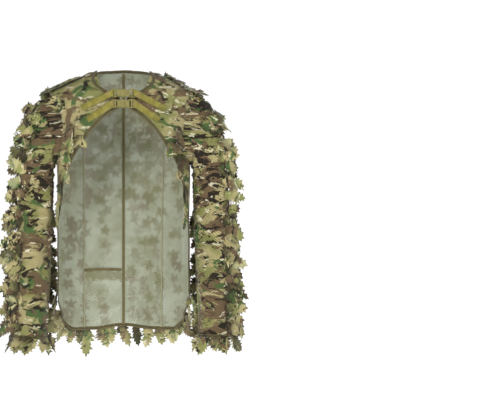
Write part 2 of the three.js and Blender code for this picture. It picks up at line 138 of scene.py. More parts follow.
def body_half_depth(z):
    return lerp(NECK_HALF_DEPTH, BODY_HALF_DEPTH, 1 - np.exp(np.minimum(z, 0) / NECK_SETTLE))


def body_squareness(z):
    return 2 + 0.35 * smooth(-z / SQUARE_LEVEL)


def body_skin(a, z):
    power = 2 / body_squareness(z)
    x = body_half_width(z) * signed_power(np.sin(a), power)
    y = body_half_depth(z) * signed_power(np.cos(a), power)
    return np.stack([x, y, z + 0 * x], axis=-1)


def body_normal(a, z):
    around = body_skin(a + TURN_STEP, z) - body_skin(a - TURN_STEP, z)
    down = body_skin(a, z - 0.001) - body_skin(a, z + 0.001)
    return unit(np.cross(around, down))


def body_folds(a, z):
    """Soft hanging folds, deeper towards the hem, and faint creases across."""
    depth = 0.0008 + 0.0042 * smooth(-z / 0.75)
    hanging = 0.5 * np.sin(9 * a + 1.3 + 3 * z) + 0.35 * np.sin(14 * a - 0.7 - 6 * z)
    fine = 0.22 * np.sin(23 * a + 2.0 + 9 * z) + 0.15 * np.sin(31 * a - 15 * z)
    creases = 0.0006 * np.sin(55 * z + 5 * a + 2 * np.sin(9 * z))
    return depth * (hanging + fine) + creases


def body_point(a, z, offset=CLOTH_MIDDLE):
    a, z = np.broadcast_arrays(np.asarray(a, float), np.asarray(z, float))
    rise = (offset + body_folds(a, z))[..., None]
    return body_skin(a, z) + body_normal(a, z) * rise


def back_angle(x, z):
    share = np.clip(np.abs(x) / body_half_width(z), 0, 1)
    return np.where(x < 0, -1, 1) * np.arcsin(share ** (body_squareness(z) / 2))


def front_angle(x, z):
    a = back_angle(x, z)
    return np.where(a < 0, -1, 1) * math.pi - a


def neck_level(a):
    return -NECK_DIP * smooth(np.abs(a) / (math.pi * 0.6))


def hem_level(a):
    """The hem rises to the front edges and is lifted a little by the centre seam."""
    lift = SEAM_LIFT * np.exp(-(a / 0.22) ** 2)
    rise = smooth((np.abs(a) - HEM_RISE_START) / (FRONT_EDGE - HEM_RISE_START))
    return -BODY_LENGTH + lift + HEM_RISE * rise


def arch_half(z):
    rise = np.clip((z + ARCH_SPRING) / (ARCH_SPRING - ARCH_TOP), 0, 1)
    return ARCH_HALF_WIDTH * (1 - rise ** ARCH_ROUNDNESS) ** (1 / ARCH_ROUNDNESS)


def armhole_depth(z):
    middle = (ARMHOLE_TOP + ARMHOLE_BOTTOM) / 2
    half = (ARMHOLE_TOP - ARMHOLE_BOTTOM) / 2
    return ARMHOLE_HALF_DEPTH * np.sqrt(np.clip(1 - ((z - middle) / half) ** 2, 0, 1))


def depth_angle(y, z):
    """The angle at which the body's side stands this far behind its middle."""
    share = np.clip(np.abs(y) / body_half_depth(z), 0, 1)
    from_side = np.arcsin(share ** (body_squareness(z) / 2))
    return math.pi / 2 - np.where(y < 0, -1, 1) * from_side


def chest_edge_x(z):
    """Half width of the front opening at each level: the V neck, the gap, then the arch."""
    neck = np.interp(-z, NECK_V_LEVELS, NECK_V_HALF_WIDTHS)
    return np.where(z > -ARCH_TOP + 0.01, neck, np.maximum(arch_half(z), GAP_HALF))


def side_seam(z):
    """The side seam leans forward below the armhole to the bound front edge."""
    return lerp(math.pi / 2, FRONT_EDGE, smooth((ARMHOLE_BOTTOM - z) / SIDE_LEAN))


def run_length(points):
    """Distance along lines of points, each starting at nothing."""
    steps = np.linalg.norm(np.diff(points, axis=-2), axis=-1)
    return np.concatenate([np.zeros(steps.shape[:-1] + (1,)), np.cumsum(steps, axis=-1)], axis=-1)


def flat_on_body(a, z, a_from):
    """Where points of the body lie on the flat cloth, in metres from the line a_from."""
    angles = lerp(a_from, a[..., None], np.linspace(0, 1, 24))
    u = run_length(body_skin(angles, z[..., None]))[..., -1] * np.sign(a - a_from)
    levels = np.linspace(0.01, -BODY_LENGTH - 0.01, 300)
    v = np.interp(-z, -levels, run_length(body_skin(np.full(300, float(a_from)), levels)))
    return np.stack([u, -v], axis=-1)


def new_object(name, verts, faces, uvs, materials, slots=None):
    mesh = bpy.data.meshes.new(name)
    mesh.from_pydata(verts.tolist(), [], faces)
    layer = mesh.uv_layers.new(name="cloth")
    layer.data.foreach_set("uv", np.asarray(uvs, np.float32).ravel())
    if slots is not None:
        mesh.polygons.foreach_set("material_index", np.asarray(slots, np.int32))
    mesh.polygons.foreach_set("use_smooth", np.ones(len(faces), bool))
    for material in materials:
        mesh.materials.append(material)
    return in_scene(name, mesh)


def cloth_faces(nu, nv, closed):
    """Quads of a two-skinned sheet, with the grid place of each corner."""
    columns = nu if closed else nu - 1
    i, j = np.meshgrid(np.arange(columns), np.arange(nv - 1))
    i, j = i.ravel(), j.ravel()
    ring = np.stack([i, i + 1, i + 1, i], axis=1)
    level = np.stack([j, j, j + 1, j + 1], axis=1)
    outer = [ring, level, np.zeros_like(ring)]
    inner = [ring[:, ::-1], level[:, ::-1], np.ones_like(ring)]
    parts = [outer, inner]

    def cut_edge(count, swapped):
        """Corners along one cut edge, and the skin that each of them is on."""
        k = np.arange(count)
        ends = [k + 1, k, k, k + 1] if swapped else [k, k + 1, k + 1, k]
        return np.stack(ends, axis=1), np.tile([0, 0, 1, 1], (count, 1))

    for row in (0, nv - 1):
        ring, skin = cut_edge(columns, row == 0)
        parts.append([ring, np.full_like(ring, row), skin])
    if not closed:
        for column in (0, nu - 1):
            level, skin = cut_edge(nv - 1, column > 0)
            parts.append([np.full_like(level, column), level, skin])
    ring, level, skin = (np.concatenate([p[k] for p in parts]) for k in range(3))
    faces = skin * nu * nv + level * nu + ring % nu
    slots = np.zeros(len(faces), int)
    slots[len(i): 2 * len(i)] = 1
    return faces, ring, level, slots


def cloth_sheet(name, mid, out, uv, thickness, materials, closed=False, threads=None):
    """A sheet with real thickness from a grid of points; materials are its outer and inner face.
    uv places the print on the cloth, and threads places the net's holes, if they differ."""
    nv, nu = mid.shape[:2]
    half = out * thickness / 2
    verts = np.concatenate([(mid + half).reshape(-1, 3), (mid - half).reshape(-1, 3)])
    faces, ring, level, slots = cloth_faces(nu, nv, closed)
    corners = np.stack([uv, uv if threads is None else threads])[:, level, ring]
    first = faces[0]
    facing = np.cross(verts[first[1]] - verts[first[0]], verts[first[2]] - verts[first[0]])
    if np.dot(facing, out[0, 0]) < 0:
        faces, corners = faces[:, ::-1], corners[:, :, ::-1]
    sheet = new_object(name, verts, faces.tolist(), corners[0].reshape(-1, 2), materials, slots)
    holes = sheet.data.uv_layers.new(name="threads")
    holes.data.foreach_set("uv", corners[1].astype(np.float32).ravel())
    return sheet


def rgb(red, green, blue):
    """A colour given as it looks on a screen, 0 to 255."""
    def channel(c):
        s = c / 255
        return s / 12.92 if s <= 0.04045 else ((s + 0.055) / 1.055) ** 2.4
    return (channel(red), channel(green), channel(blue), 1.0)


class Recipe:
    """A material's node tree, built one node at a time."""

    def __init__(self, name, roughness, specular=0.25, sheen=0.0):
        self.material = bpy.data.materials.new(name)
        self.material.use_nodes = True
        self.tree = self.material.node_tree
        self.shader = self.tree.nodes["Principled BSDF"]
        self.shader.inputs["Roughness"].default_value = roughness
        self.shader.inputs["Specular IOR Level"].default_value = specular
        self.shader.inputs["Sheen Weight"].default_value = sheen

    def node(self, kind, settings=None, **inputs):
        node = self.tree.nodes.new(kind)
        for key, value in (settings or {}).items():
            setattr(node, key, value)
        for key, value in inputs.items():
            socket = node.inputs[int(key[1:])] if key[0] == "_" else node.inputs[key.replace("_", " ")]
            if isinstance(value, bpy.types.NodeSocket):
                self.tree.links.new(value, socket)
            else:
                socket.default_value = value
        return node

    def math(self, operation, a, b=0.0):
        return self.node("ShaderNodeMath", {"operation": operation}, _0=a, _1=b).outputs[0]

    def times(self, a, b):
        return self.math("MULTIPLY", a, b)

    def plus(self, a, b):
        return self.math("ADD", a, b)

    def minus(self, a, b):
        return self.math("SUBTRACT", a, b)

    def apart(self, value, middle=0.0):
        """How far a value is from the middle, on either side of it."""
        return self.math("ABSOLUTE", self.minus(value, middle))

    def waves(self, value, pitch):
        return self.math("SINE", self.times(value, 2 * math.pi / pitch))

    def mix(self, share, a, b):
        return self.node("ShaderNodeMix", {"data_type": "RGBA"}, _0=share, _6=a, _7=b).outputs[2]

    def stain(self, colour, mask, strength, ink):
        """Ink over a colour wherever the mask is."""
        return self.mix(self.times(mask, strength), colour, ink)

    def patches(self, coordinate, grain, low, high, a, b):
        """Two colours in cloudy patches; grain holds the settings of the noise."""
        return self.mix(self.step(self.noise(coordinate, *grain), low, high), a, b)

    def attribute(self, name):
        return self.node("ShaderNodeAttribute", {"attribute_name": name}).outputs["Fac"]

    def axes(self, coordinate):
        return self.node("ShaderNodeSeparateXYZ", None, Vector=coordinate).outputs[:2]

    def uv(self, name="cloth"):
        return self.node("ShaderNodeUVMap", {"uv_map": name}).outputs[0]

    def moved(self, coordinate, scale=(1, 1, 1), shift=(0, 0, 0), turn=0.0):
        return self.node("ShaderNodeMapping", None, Vector=coordinate, Scale=scale, Location=shift,
                         Rotation=(0, 0, turn)).outputs[0]

    def noise(self, coordinate, scale, detail=2.0, rough=0.5, distortion=0.0):
        return self.node("ShaderNodeTexNoise", None, Vector=coordinate, Scale=scale, Detail=detail,
                         Roughness=rough, Distortion=distortion).outputs[0]

    def step(self, value, low, high):
        settings = {"interpolation_type": "SMOOTHSTEP", "clamp": True}
        return self.node("ShaderNodeMapRange", settings, Value=value, _1=low, _2=high).outputs[0]

    def link(self, value, socket_name):
        self.tree.links.new(value, self.shader.inputs[socket_name])

    def finished(self, colour, height, strength, distance):
        """The material, with its colour and a fine relief of this height."""
        self.link(colour, "Base Color")
        bump = self.node("ShaderNodeBump", None, Height=height, Strength=strength, Distance=distance)
        self.link(bump.outputs[0], "Normal")
        return self.material


PRINT_TAN = rgb(182, 171, 121)
PRINT_OLIVE = rgb(142, 144, 86)
PRINT_GREEN = rgb(82, 108, 60)
PRINT_BROWN = rgb(116, 96, 70)
PRINT_DARK = rgb(42, 36, 28)
PRINT_CREAM = rgb(224, 218, 184)


def camouflage(recipe, coordinate, size=1.0, shade=0.0):
    """A woodland print of flat, sideways blotches laid over each other; shade adds dark ink."""
    wide = recipe.moved(coordinate, (1 / size, 1.5 / size, 1))
    thin = recipe.moved(coordinate, (1 / size, 2.2 / size, 1), (3.1, 7.7, 0))
    colour = recipe.patches(wide, (9, 2.5, 0.55, 0.4), 0.44, 0.56, PRINT_TAN, PRINT_OLIVE)
    layers = (
        (wide, (5, 2, 0), (11, 3, 0.6, 0.7), 0.545, 0.585, PRINT_GREEN),
        (wide, (1, 8, 0), (10, 4, 0.66, 0.9), 0.530 - shade, 0.560 - shade, PRINT_BROWN),
        (thin, (0, 0, 0), (21, 4, 0.68, 0.9), 0.560 - shade, 0.580 - shade, PRINT_DARK),
        (thin, (4, 4, 0), (26, 3, 0.65, 0.6), 0.612, 0.636, PRINT_CREAM),
    )
    for place, shift, grain, low, high, ink in layers:
        colour = recipe.patches(recipe.moved(place, shift=shift), grain, low, high, colour, ink)
    return colour


def net_holes(recipe, coordinate):
    """Distance from the middle of the nearest hole, and the mask that cuts the open holes."""
    turned = recipe.moved(coordinate, turn=math.pi / 4)
    cells = recipe.node("ShaderNodeTexVoronoi", {"voronoi_dimensions": "2D"}, Vector=turned,
                        Scale=1 / NET_PITCH, Randomness=0.0)
    distance = cells.outputs["Distance"]
    return distance, recipe.step(distance, *HOLE_EDGE)


def net_material(name, face, ink=0.012):
    """The net's printed face, its pale reverse with painted leaf shadows, or the reverse inside a sleeve
    darkened as painted shade. Each darkens the threads round the holes as painted shade.
    """
    recipe = Recipe(name, roughness=0.9, specular=0.15, sheen=0.12)
    coordinate = recipe.uv()
    distance, solid = net_holes(recipe, recipe.uv("threads"))
    threads = recipe.noise(coordinate, 1600, 1, 0.5)
    if face == "pale":
        pale = recipe.patches(coordinate, (7, 4, 0.6, 0.5), 0.35, 0.68,
                              rgb(174, 179, 160), rgb(152, 156, 130))
        painted_leaf_shadow_colour = recipe.patches(coordinate, (9, 2), 0.45, 0.6, rgb(112, 108, 68), rgb(108, 92, 66))
        # Painted shadows of the leaves behind the net, as ragged olive-brown patches on the pale reverse.
        shade = recipe.attribute("painted_leaf_shadow")
        ragged = recipe.times(recipe.minus(recipe.noise(coordinate, 75, 5, 0.75, 0.8), 0.5), 2.2)
        patch = recipe.step(recipe.plus(shade, ragged), 0.25, 0.85)
        strength = recipe.times(patch, recipe.plus(recipe.times(shade, 0.35), 0.28))
        colour = recipe.stain(recipe.mix(strength, pale, painted_leaf_shadow_colour), threads, 0.16, rgb(70, 66, 48))
        ring, hole = 0.30, rgb(112, 110, 84)
    # Inside a sleeve the reverse is dark olive brown: painted shade for the inside of the tube, which the
    # light hardly reaches.
    elif face == "painted_shade":
        colour = recipe.patches(coordinate, (12, 3), 0.4, 0.6, rgb(84, 80, 56), rgb(66, 60, 44))
        ring, hole = 0.5, rgb(30, 26, 18)
    else:
        colour = recipe.stain(camouflage(recipe, coordinate, shade=ink), threads, 0.18, rgb(44, 40, 28))
        ring, hole = 0.92, rgb(30, 25, 18)
    recipe.link(solid, "Alpha")
    # Painted shade round the holes: the threads at each hole are darkened towards the hole colour, strongly
    # on the printed face and inside a sleeve, lightly on the pale reverse.
    colour = recipe.stain(colour, recipe.step(distance, 0.30, 0.22), ring, hole)
    return recipe.finished(colour, recipe.plus(distance, recipe.times(threads, 0.3)), 0.35, 0.0006)


net_outside = net_material("camouflage_net", "printed")
# The upper sleeves get much more dark ink than the rest of the net: painted shade on the sleeves, which hang
# back from the light.
net_upper_sleeve_painted_shade = net_material("camouflage_net_upper_sleeve_painted_shade", "printed", ink=0.055)
net_chest = net_material("camouflage_net_chest", "printed", ink=-0.008)
# The pale reverse carries the painted leaf shadows.
net_inside = net_material("net_reverse", "pale")
# The reverse inside the sleeves is painted shade, darker than the pale reverse of the body.
net_sleeve_inside_painted_shade = net_material("net_reverse_painted_shade_in_sleeve", "painted_shade")


def body_levels(count, top, bottom):
    """Levels down a panel, closer together over the shoulder."""
    t = np.linspace(0, 1, count)
    knee = 0.2
    over = lerp(top, -SHOULDER_DROP, np.clip(t / knee, 0, 1))
    down = lerp(-SHOULDER_DROP, bottom, np.clip((t - knee) / (1 - knee), 0, 1))
    return np.where(t < knee, over, down)


def body_panel(name, edge_from, edge_to, columns, rows, bottom, shift, a_from=None, printed=net_outside):
    """A panel between two edges, each of which gives an angle for every level. The print is laid
    out from its first edge, or from the angle a_from."""
    share = np.linspace(0, 1, columns)
    a = np.full((rows, columns), edge_from(np.float64(-SHOULDER_DROP)))
    for settle in range(4):
        levels = [body_levels(rows, neck_level(column[0]), bottom(column[-1])) for column in a.T]
        z = np.stack(levels, axis=1)
        a = lerp(edge_from(z), edge_to(z), share[None, :])
    cloth_at[name] = (a, z)
    if a_from is None:
        a_from = edge_from(np.float64(-SHOULDER_DROP))
    uv = flat_on_body(a, z, a_from) + np.array(shift)
    sheet = cloth_sheet(name, body_point(a, z), body_normal(a, z), uv, NET_THICKNESS, (printed, net_inside))
    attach(sheet, "jacket_body")
    return sheet


def armhole_edge(z, way):
    """The edge that a panel turns to the sleeve, behind or in front of it, and the side seam."""
    in_armhole = (z < ARMHOLE_TOP) & (z > ARMHOLE_BOTTOM)
    return np.where(in_armhole, depth_angle(way * armhole_depth(z), z), side_seam(z))


def chest_front_edge(z):
    """Below the arch the edge runs out to meet the side panel's front edge."""
    edge = front_angle(chest_edge_x(z), z)
    return lerp(edge, FRONT_EDGE + 0.004, smooth((-z - ARCH_SPRING) / (ARCH_END - ARCH_SPRING)))


cloth_at = {}
back_seam = float(back_angle(BACK_SEAM_X, -BODY_LENGTH / 2))
chest_end = -ARCH_END + 0.006
for name, side in SIDES:
    back = body_panel(f"back_net_{name}", lambda z: 0 * z, lambda z: side * back_seam + 0 * z,
                      36, 170, hem_level, (side * 0.7, 0.0))
    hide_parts(f"back_panel_{name}")
    flank = body_panel(f"side_net_{name}", lambda z: side * back_seam + 0 * z,
                       lambda z: side * armhole_edge(z, 1), 48, 170, hem_level, (side * 1.9, 0.4))
    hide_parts(f"side_panel_{name}")
    chest = body_panel(f"chest_net_{name}", lambda z: side * armhole_edge(z, -1),
                       lambda z: side * chest_front_edge(z), 44, 120, lambda a: chest_end + 0 * a,
                       (side * 2.7, 0.9), side * math.pi, net_chest)
    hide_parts(f"front_panel_{name}")

# ---- Sleeves ----
# Each sleeve is a wide tube of the same net, set into the armhole with a little fullness at its
# head. One cloth runs from the armhole nearly to the elbow, and the next over the elbow to the
# cuff.
SLEEVE_KNOTS = (0, 0.2, 0.4, 0.6, 0.8, 1, 1.5, 2)
SLEEVE_OUTER = ((0.230, -0.080), (0.251, -0.112), (0.280, -0.172), (0.295, -0.241),
                (0.301, -0.315), (0.306, -0.430), (0.312, -0.599), (0.318, -0.768))
SLEEVE_INNER = ((0.200, -0.273), (0.200, -0.285), (0.201, -0.310), (0.203, -0.345),
                (0.204, -0.385), (0.207, -0.430), (0.211, -0.599), (0.216, -0.768))
SLEEVE_HEAD_DEPTH = 0.062
SEAM_TURN = 0.004
SLEEVE_DEPTH = 0.058
CUFF_FORWARD = 0.042
SLEEVE_SPLIT = 0.9


def through(points, knots, t):
    """A smooth curve through the points, each reached at its knot."""
    points, knots = np.asarray(points, float), np.asarray(knots, float)
    slope = np.gradient(points, knots, axis=0)
    k = np.clip(np.searchsorted(knots, t, side="right") - 1, 0, len(knots) - 2)
    span = (knots[k + 1] - knots[k])[..., None]
    q = ((t - knots[k])[..., None]) / span
    start, end = points[k], points[k + 1]
    return ((2 * q ** 3 - 3 * q ** 2 + 1) * start + (q ** 3 - 2 * q ** 2 + q) * span * slope[k]
            + (-2 * q ** 3 + 3 * q ** 2) * end + (q ** 3 - q ** 2) * span * slope[k + 1])


def body_wall_x(y, z):
    power = body_squareness(z)
    share = np.clip(np.abs(y) / body_half_depth(z), 0, 1) ** power
    return body_half_width(z) * (1 - share) ** (1 / power)


def sleeve_skin(turn, s):
    """The left sleeve; turn is 0 on its outer side and a quarter turn at its back."""
    outer = through(SLEEVE_OUTER, SLEEVE_KNOTS, s)
    inner = through(SLEEVE_INNER, SLEEVE_KNOTS, s)
    middle, half = (outer + inner) / 2, (outer - inner) / 2
    depth = lerp(SLEEVE_HEAD_DEPTH, SLEEVE_DEPTH, smooth(1.6 * s))
    x = middle[..., 0] + half[..., 0] * np.cos(turn)
    z = middle[..., 1] + half[..., 1] * np.cos(turn)
    y = depth * np.sin(turn)
    wall = body_wall_x(y, z)
    pull = (1 - smooth(s / 0.42)) * np.abs(np.sin(turn)) ** 1.5
    x = x - np.maximum(0, x - wall - 0.009) * pull
    seam_y = ARMHOLE_HALF_DEPTH * np.sin(turn)
    sewn = 1 - smooth(s / 0.12)
    x = lerp(x, body_wall_x(seam_y, z) + CLOTH_MIDDLE - SEAM_TURN, sewn)
    y = lerp(y, seam_y, sewn) - CUFF_FORWARD * np.clip(s - 1, 0, 1)
    return np.stack([x, y, z], axis=-1)


def sleeve_folds(turn, s):
    """Fullness at the head, slanting creases at the underarm and the elbow, soft folds below."""
    head = 0.0016 * np.sin(15 * turn + 2) * np.exp(-(s / 0.13) ** 2) * smooth(s / 0.03)
    slack = 0.5 + 0.5 * np.cos(turn - math.pi)
    under = 0.0038 * np.sin(30 * s + 3 * turn) * slack ** 2 * np.exp(-((s - 0.25) / 0.22) ** 2)
    elbow = 0.0032 * np.sin(34 * s - 2.2 * turn + 1) * np.exp(-((s - 1.08) / 0.22) ** 2)
    long = 0.0030 * np.sin(3 * turn + 4 * s + 0.6) + 0.0016 * np.sin(7 * turn - 9 * s + 2)
    small = 0.0007 * np.sin(90 * s + 6 * turn + 2 * np.sin(5 * turn))
    free = smooth(s / 0.2) * (1 - 0.65 * smooth((s - 1.9) / 0.1))
    return head + under + elbow + (long + small) * free


def sleeve_point(side, turn, s, offset=CLOTH_MIDDLE):
    turn, s = np.broadcast_arrays(np.asarray(turn, float), np.asarray(s, float))
    around = sleeve_skin(turn + TURN_STEP, s) - sleeve_skin(turn - TURN_STEP, s)
    low, high = np.maximum(s - 0.01, 0), np.minimum(s + 0.01, 2)
    out = unit(np.cross(sleeve_skin(turn, high) - sleeve_skin(turn, low), around))
    point = sleeve_skin(turn, s) + out * (offset + sleeve_folds(turn, s))[..., None]
    mirror = np.array([side, 1, 1])
    return point * mirror, out * mirror


def shoulder_blend(piece, name, side):
    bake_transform(piece)


def elbow_blend(piece, name, side):
    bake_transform(piece)


def sleeve_cloth(name, side, start, end, rows, shift, printed):
    turn = np.linspace(0, 2 * math.pi, 85)[None, :]
    s = np.linspace(start, end, rows)[:, None]
    mid, out = sleeve_point(side, turn[:, :-1], s)
    closed = np.concatenate([mid, mid[:, :1]], axis=1)
    radius = np.linalg.norm(np.diff(closed, axis=1), axis=-1).sum(axis=1).mean() / (2 * math.pi)
    uv = np.stack([side * turn * radius + 0 * s, closed[..., 2]], axis=-1) + np.array(shift)
    threads = np.stack([side * run_length(closed), -run_length(closed.swapaxes(0, 1)).T], axis=-1)
    return cloth_sheet(name, mid, out, uv, NET_THICKNESS, (printed, net_sleeve_inside_painted_shade), True, threads)


for name, side in SIDES:
    head = sleeve_cloth(f"sleeve_head_net_{name}", side, 0.0, SLEEVE_SPLIT, 100, (side * 4.1, 1.3),
                        net_upper_sleeve_painted_shade)
    shoulder_blend(head, name, side)
    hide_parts(f"sleeve_upper_{name}")
    lower = sleeve_cloth(f"sleeve_elbow_net_{name}", side, SLEEVE_SPLIT, 2.0, 110, (side * 5.3, 2.2),
                         net_outside)
    elbow_blend(lower, name, side)
    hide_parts(f"sleeve_lower_{name}")

# ---- Seam tapes ----
# Narrow olive cotton tapes are sewn over the seams: down the middle and both sides of the back
# and across the lower back on the inside, and along the outer line of each sleeve.
TAPE_WIDTH = 0.008
SIDE_SEAM_WIDTH = 0.004
TAPE_THICKNESS = 0.0012
BAND_CORNERS = 14
STITCH_LENGTH = 0.0032


def band(name, line, out, width, thickness, material):
    """A flat tape with rounded edges along a line, lying flat on cloth that faces outwards."""
    forward = unit(np.gradient(line, axis=0))
    across = unit(np.cross(out, forward))
    up = unit(np.cross(forward, across))
    turn = np.linspace(0, 2 * math.pi, BAND_CORNERS, endpoint=False)
    wide = signed_power(np.cos(turn), 0.45) * width / 2
    thick = signed_power(np.sin(turn), 0.7) * thickness / 2
    rings = line[:, None] + across[:, None] * wide[None, :, None] + up[:, None] * thick[None, :, None]
    n, m = rings.shape[:2]
    along = run_length(line)
    corners = [((i, k), (i, (k + 1) % m), (i + 1, (k + 1) % m), (i + 1, k))
               for i in range(n - 1) for k in range(m)]
    corners += [[(0, k) for k in reversed(range(m))], [(n - 1, k) for k in range(m)]]
    faces = [[row * m + k for row, k in face] for face in corners]
    uvs = [(along[row], wide[k]) for face in corners for row, k in face]
    return new_object(name, rings.reshape(-1, 3), faces, uvs, (material,))


def tape_material(name, colour, shade, stitch_at):
    """Ribbed cotton tape with a line of stitches near each edge."""
    recipe = Recipe(name, roughness=0.85, specular=0.2, sheen=0.3)
    coordinate = recipe.uv()
    along, across = recipe.axes(coordinate)
    ribs = recipe.waves(along, 0.0011)
    base = recipe.patches(coordinate, (55, 4, 0.65), 0.3, 0.75, colour, shade)
    base = recipe.stain(base, recipe.plus(ribs, 1.0), 0.10, rgb(38, 34, 20))
    in_line = recipe.math("LESS_THAN", recipe.apart(recipe.apart(across), stitch_at), 0.00035)
    dash = recipe.math("GREATER_THAN", recipe.waves(along, STITCH_LENGTH), -0.45)
    stitch = recipe.times(in_line, dash)
    height = recipe.plus(recipe.times(ribs, 0.25), recipe.times(stitch, 1.5))
    return recipe.finished(recipe.mix(stitch, base, rgb(150, 140, 96)), height, 0.5, 0.0004)


tape_olive = tape_material("olive_tape", rgb(112, 104, 70), rgb(92, 84, 52), 0.0028)
tape_pale = tape_material("pale_seam_tape", rgb(168, 168, 138), rgb(148, 146, 114), 0.0012)


def sewn_on(tape, body, node):
    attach(tape, body)
    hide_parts(node)


def inside_tape(name, x_at, level_from, level_to, width, material, node):
    z = np.linspace(level_from, level_to, 120)
    a = back_angle(x_at(z), z)
    tape = band(name, body_point(a, z, -0.0008), -body_normal(a, z), width, TAPE_THICKNESS, material)
    sewn_on(tape, "jacket_body", node)


def seam_x(side):
    """The back side seams follow the panels' edges, closer together at the neck."""
    def at(z):
        return side * body_half_width(z) * np.sin(back_seam) ** (2 / body_squareness(z))
    return at


inside_tape("centre_back_seam", lambda z: 0 * z, -0.008, float(hem_level(0.0)) + 0.004,
            TAPE_WIDTH, tape_olive, "centre_back_tape")
for name, side in SIDES:
    inside_tape(f"back_side_seam_{name}", seam_x(side), -0.045, -BODY_LENGTH + 0.006,
                SIDE_SEAM_WIDTH, tape_pale, f"back_seam_tape_{name}")

across_x = np.linspace(-0.006, -BACK_SEAM_X, 40)
across_z = CROSS_SEAM_LEVEL - 0.002 * np.sin(across_x * 30)
across_a = back_angle(across_x, across_z)
cross_seam = band("cross_seam", body_point(across_a, across_z, -0.0016), -body_normal(across_a, across_z),
                  TAPE_WIDTH, TAPE_THICKNESS, tape_olive)
sewn_on(cross_seam, "jacket_body", "cross_seam_tape")

for name, side in SIDES:
    parts = (("upper", 0.10, SLEEVE_SPLIT, shoulder_blend), ("lower", SLEEVE_SPLIT, 1.97, elbow_blend))
    for part, start, end, blend in parts:
        s = np.linspace(start, end, 90)
        points, out = sleeve_point(side, 0.0, s, CLOTH_MIDDLE + 0.0012)
        seam = band(f"sleeve_seam_{part}_{name}", points, out, TAPE_WIDTH, TAPE_THICKNESS, tape_olive)
        blend(seam, name, side)
        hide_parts(f"sleeve_tape_{part}_{name}")

# ---- Edge bindings ----
# The neck, the front edges with the arch, the hem and the cuffs are bound with dark olive
# grosgrain folded over the cut edge and sewn through with two lines of stitches.
BINDING_WIDTH = 0.010
BINDING_THICKNESS = 0.0030
binding_olive = tape_material("olive_binding", rgb(92, 84, 52), rgb(70, 62, 40), 0.0032)


def edge_binding(name, a, z, node):
    bound = band(name, body_point(a, z), body_normal(a, z), BINDING_WIDTH, BINDING_THICKNESS, binding_olive)
    sewn_on(bound, "jacket_body", node)


neck_a = np.linspace(-1.02, 1.02, 160) * math.radians(128)
edge_binding("bound_neck", neck_a, neck_level(neck_a) - 0.002, "neck_binding")


def front_edge_line():
    """Levels and angles of the left front edge, from the neck down to the hem corner."""
    v_neck = [(x - 0.002, -level) for level, x in zip(NECK_V_LEVELS, NECK_V_HALF_WIDTHS)]
    turn = np.linspace(0.02, math.pi / 2, 60)
    arch_x = ARCH_HALF_WIDTH * np.sin(turn) ** (2 / ARCH_ROUNDNESS)
    arch_z = -ARCH_SPRING + (ARCH_SPRING - ARCH_TOP) * np.cos(turn) ** (2 / ARCH_ROUNDNESS)
    keep = arch_x > GAP_HALF + 0.001
    x = np.concatenate([[p[0] for p in v_neck], [GAP_HALF, GAP_HALF], arch_x[keep] + 0.002])
    z = np.concatenate([[p[1] for p in v_neck], [-0.098, -0.112], arch_z[keep]])
    level = np.linspace(-ARCH_SPRING - 0.01, -BODY_LENGTH + HEM_RISE + 0.004, 50)
    a = np.concatenate([front_angle(x, z), np.where(level > -ARCH_END, chest_front_edge(level), FRONT_EDGE)])
    z = np.concatenate([z, level])
    distance = run_length(body_skin(a, z))
    even = np.linspace(0, distance[-1], 240)
    a, z = np.interp(even, distance, a), np.interp(even, distance, z)
    for soften in range(3):
        a[1:-1] = (a[:-2] + 2 * a[1:-1] + a[2:]) / 4
        z[1:-1] = (z[:-2] + 2 * z[1:-1] + z[2:]) / 4
    return a, z


for name, side in SIDES:
    edge_a, edge_z = front_edge_line()
    edge_binding(f"bound_front_{name}", side * edge_a, edge_z, f"front_edge_binding_{name}")
hem_a = np.linspace(-1, 1, 220) * (FRONT_EDGE - 0.01)
edge_binding("bound_hem", hem_a, hem_level(hem_a) + 0.002, "hem_binding")

for name, side in SIDES:
    points, out = sleeve_point(side, np.linspace(0, 2 * math.pi, 97), 1.992)
    lapped = np.r_[:96, :2]
    cuff = band(f"bound_cuff_{name}", points[lapped], out[lapped], BINDING_WIDTH, BINDING_THICKNESS,
                binding_olive)
    sewn_on(cuff, f"lower_sleeve_{name}", f"cuff_binding_{name}")

# ---- Leaves ----
# Leaves are die-cut with ragged teeth from the same printed cloth, which is pale on its back,
# and sewn down by their stems in rows: five columns on the back, one on each chest edge, one
# over each shoulder, runs along the sleeves, and single leaves under the hem and the cuffs.
LEAF_TEETH = 6
LEAF_ROWS = 2 * LEAF_TEETH + 3
LEAF_COLUMNS = 5
LEAF_THICKNESS = 0.0006
TOOTH_TIP = 1.06
TOOTH_ROOT = 0.66
TOOTH_SWEEP = 0.06
STEM_CLEARANCE = 0.0012
BODY_LEAF_GAP = 0.0036
SLEEVE_LEAF_GAP = 0.0032


def leaf_material(name, underside):
    recipe = Recipe(name, roughness=0.85, specular=0.2, sheen=0.15)
    coordinate = recipe.uv()
    colour = camouflage(recipe, coordinate, size=0.8)
    weave = recipe.noise(recipe.moved(coordinate, (1, 2.2, 1)), 1100, 1, 0.5)
    tone_and_painted_shade = recipe.attribute("leaf_tone_and_painted_shade")
    if underside:
        colour = recipe.mix(0.25, colour, rgb(136, 134, 100))
    # Dark ink by each leaf's tone: darker leaves picked at random, and painted shade near each stem where
    # the leaf above would shade it.
    colour = recipe.stain(colour, recipe.step(tone_and_painted_shade, 0.36, 1.05), 0.88, rgb(44, 37, 24))
    # Pale ink where the tone is lowest, on the outer part of leaves picked at random: partly paler leaves,
    # partly painted highlight.
    colour = recipe.stain(colour, recipe.step(tone_and_painted_shade, 0.16, 0.0), 0.62, rgb(200, 200, 150))
    colour = recipe.stain(colour, weave, 0.14, rgb(40, 38, 24))
    return recipe.finished(colour, weave, 0.3, 0.0003)


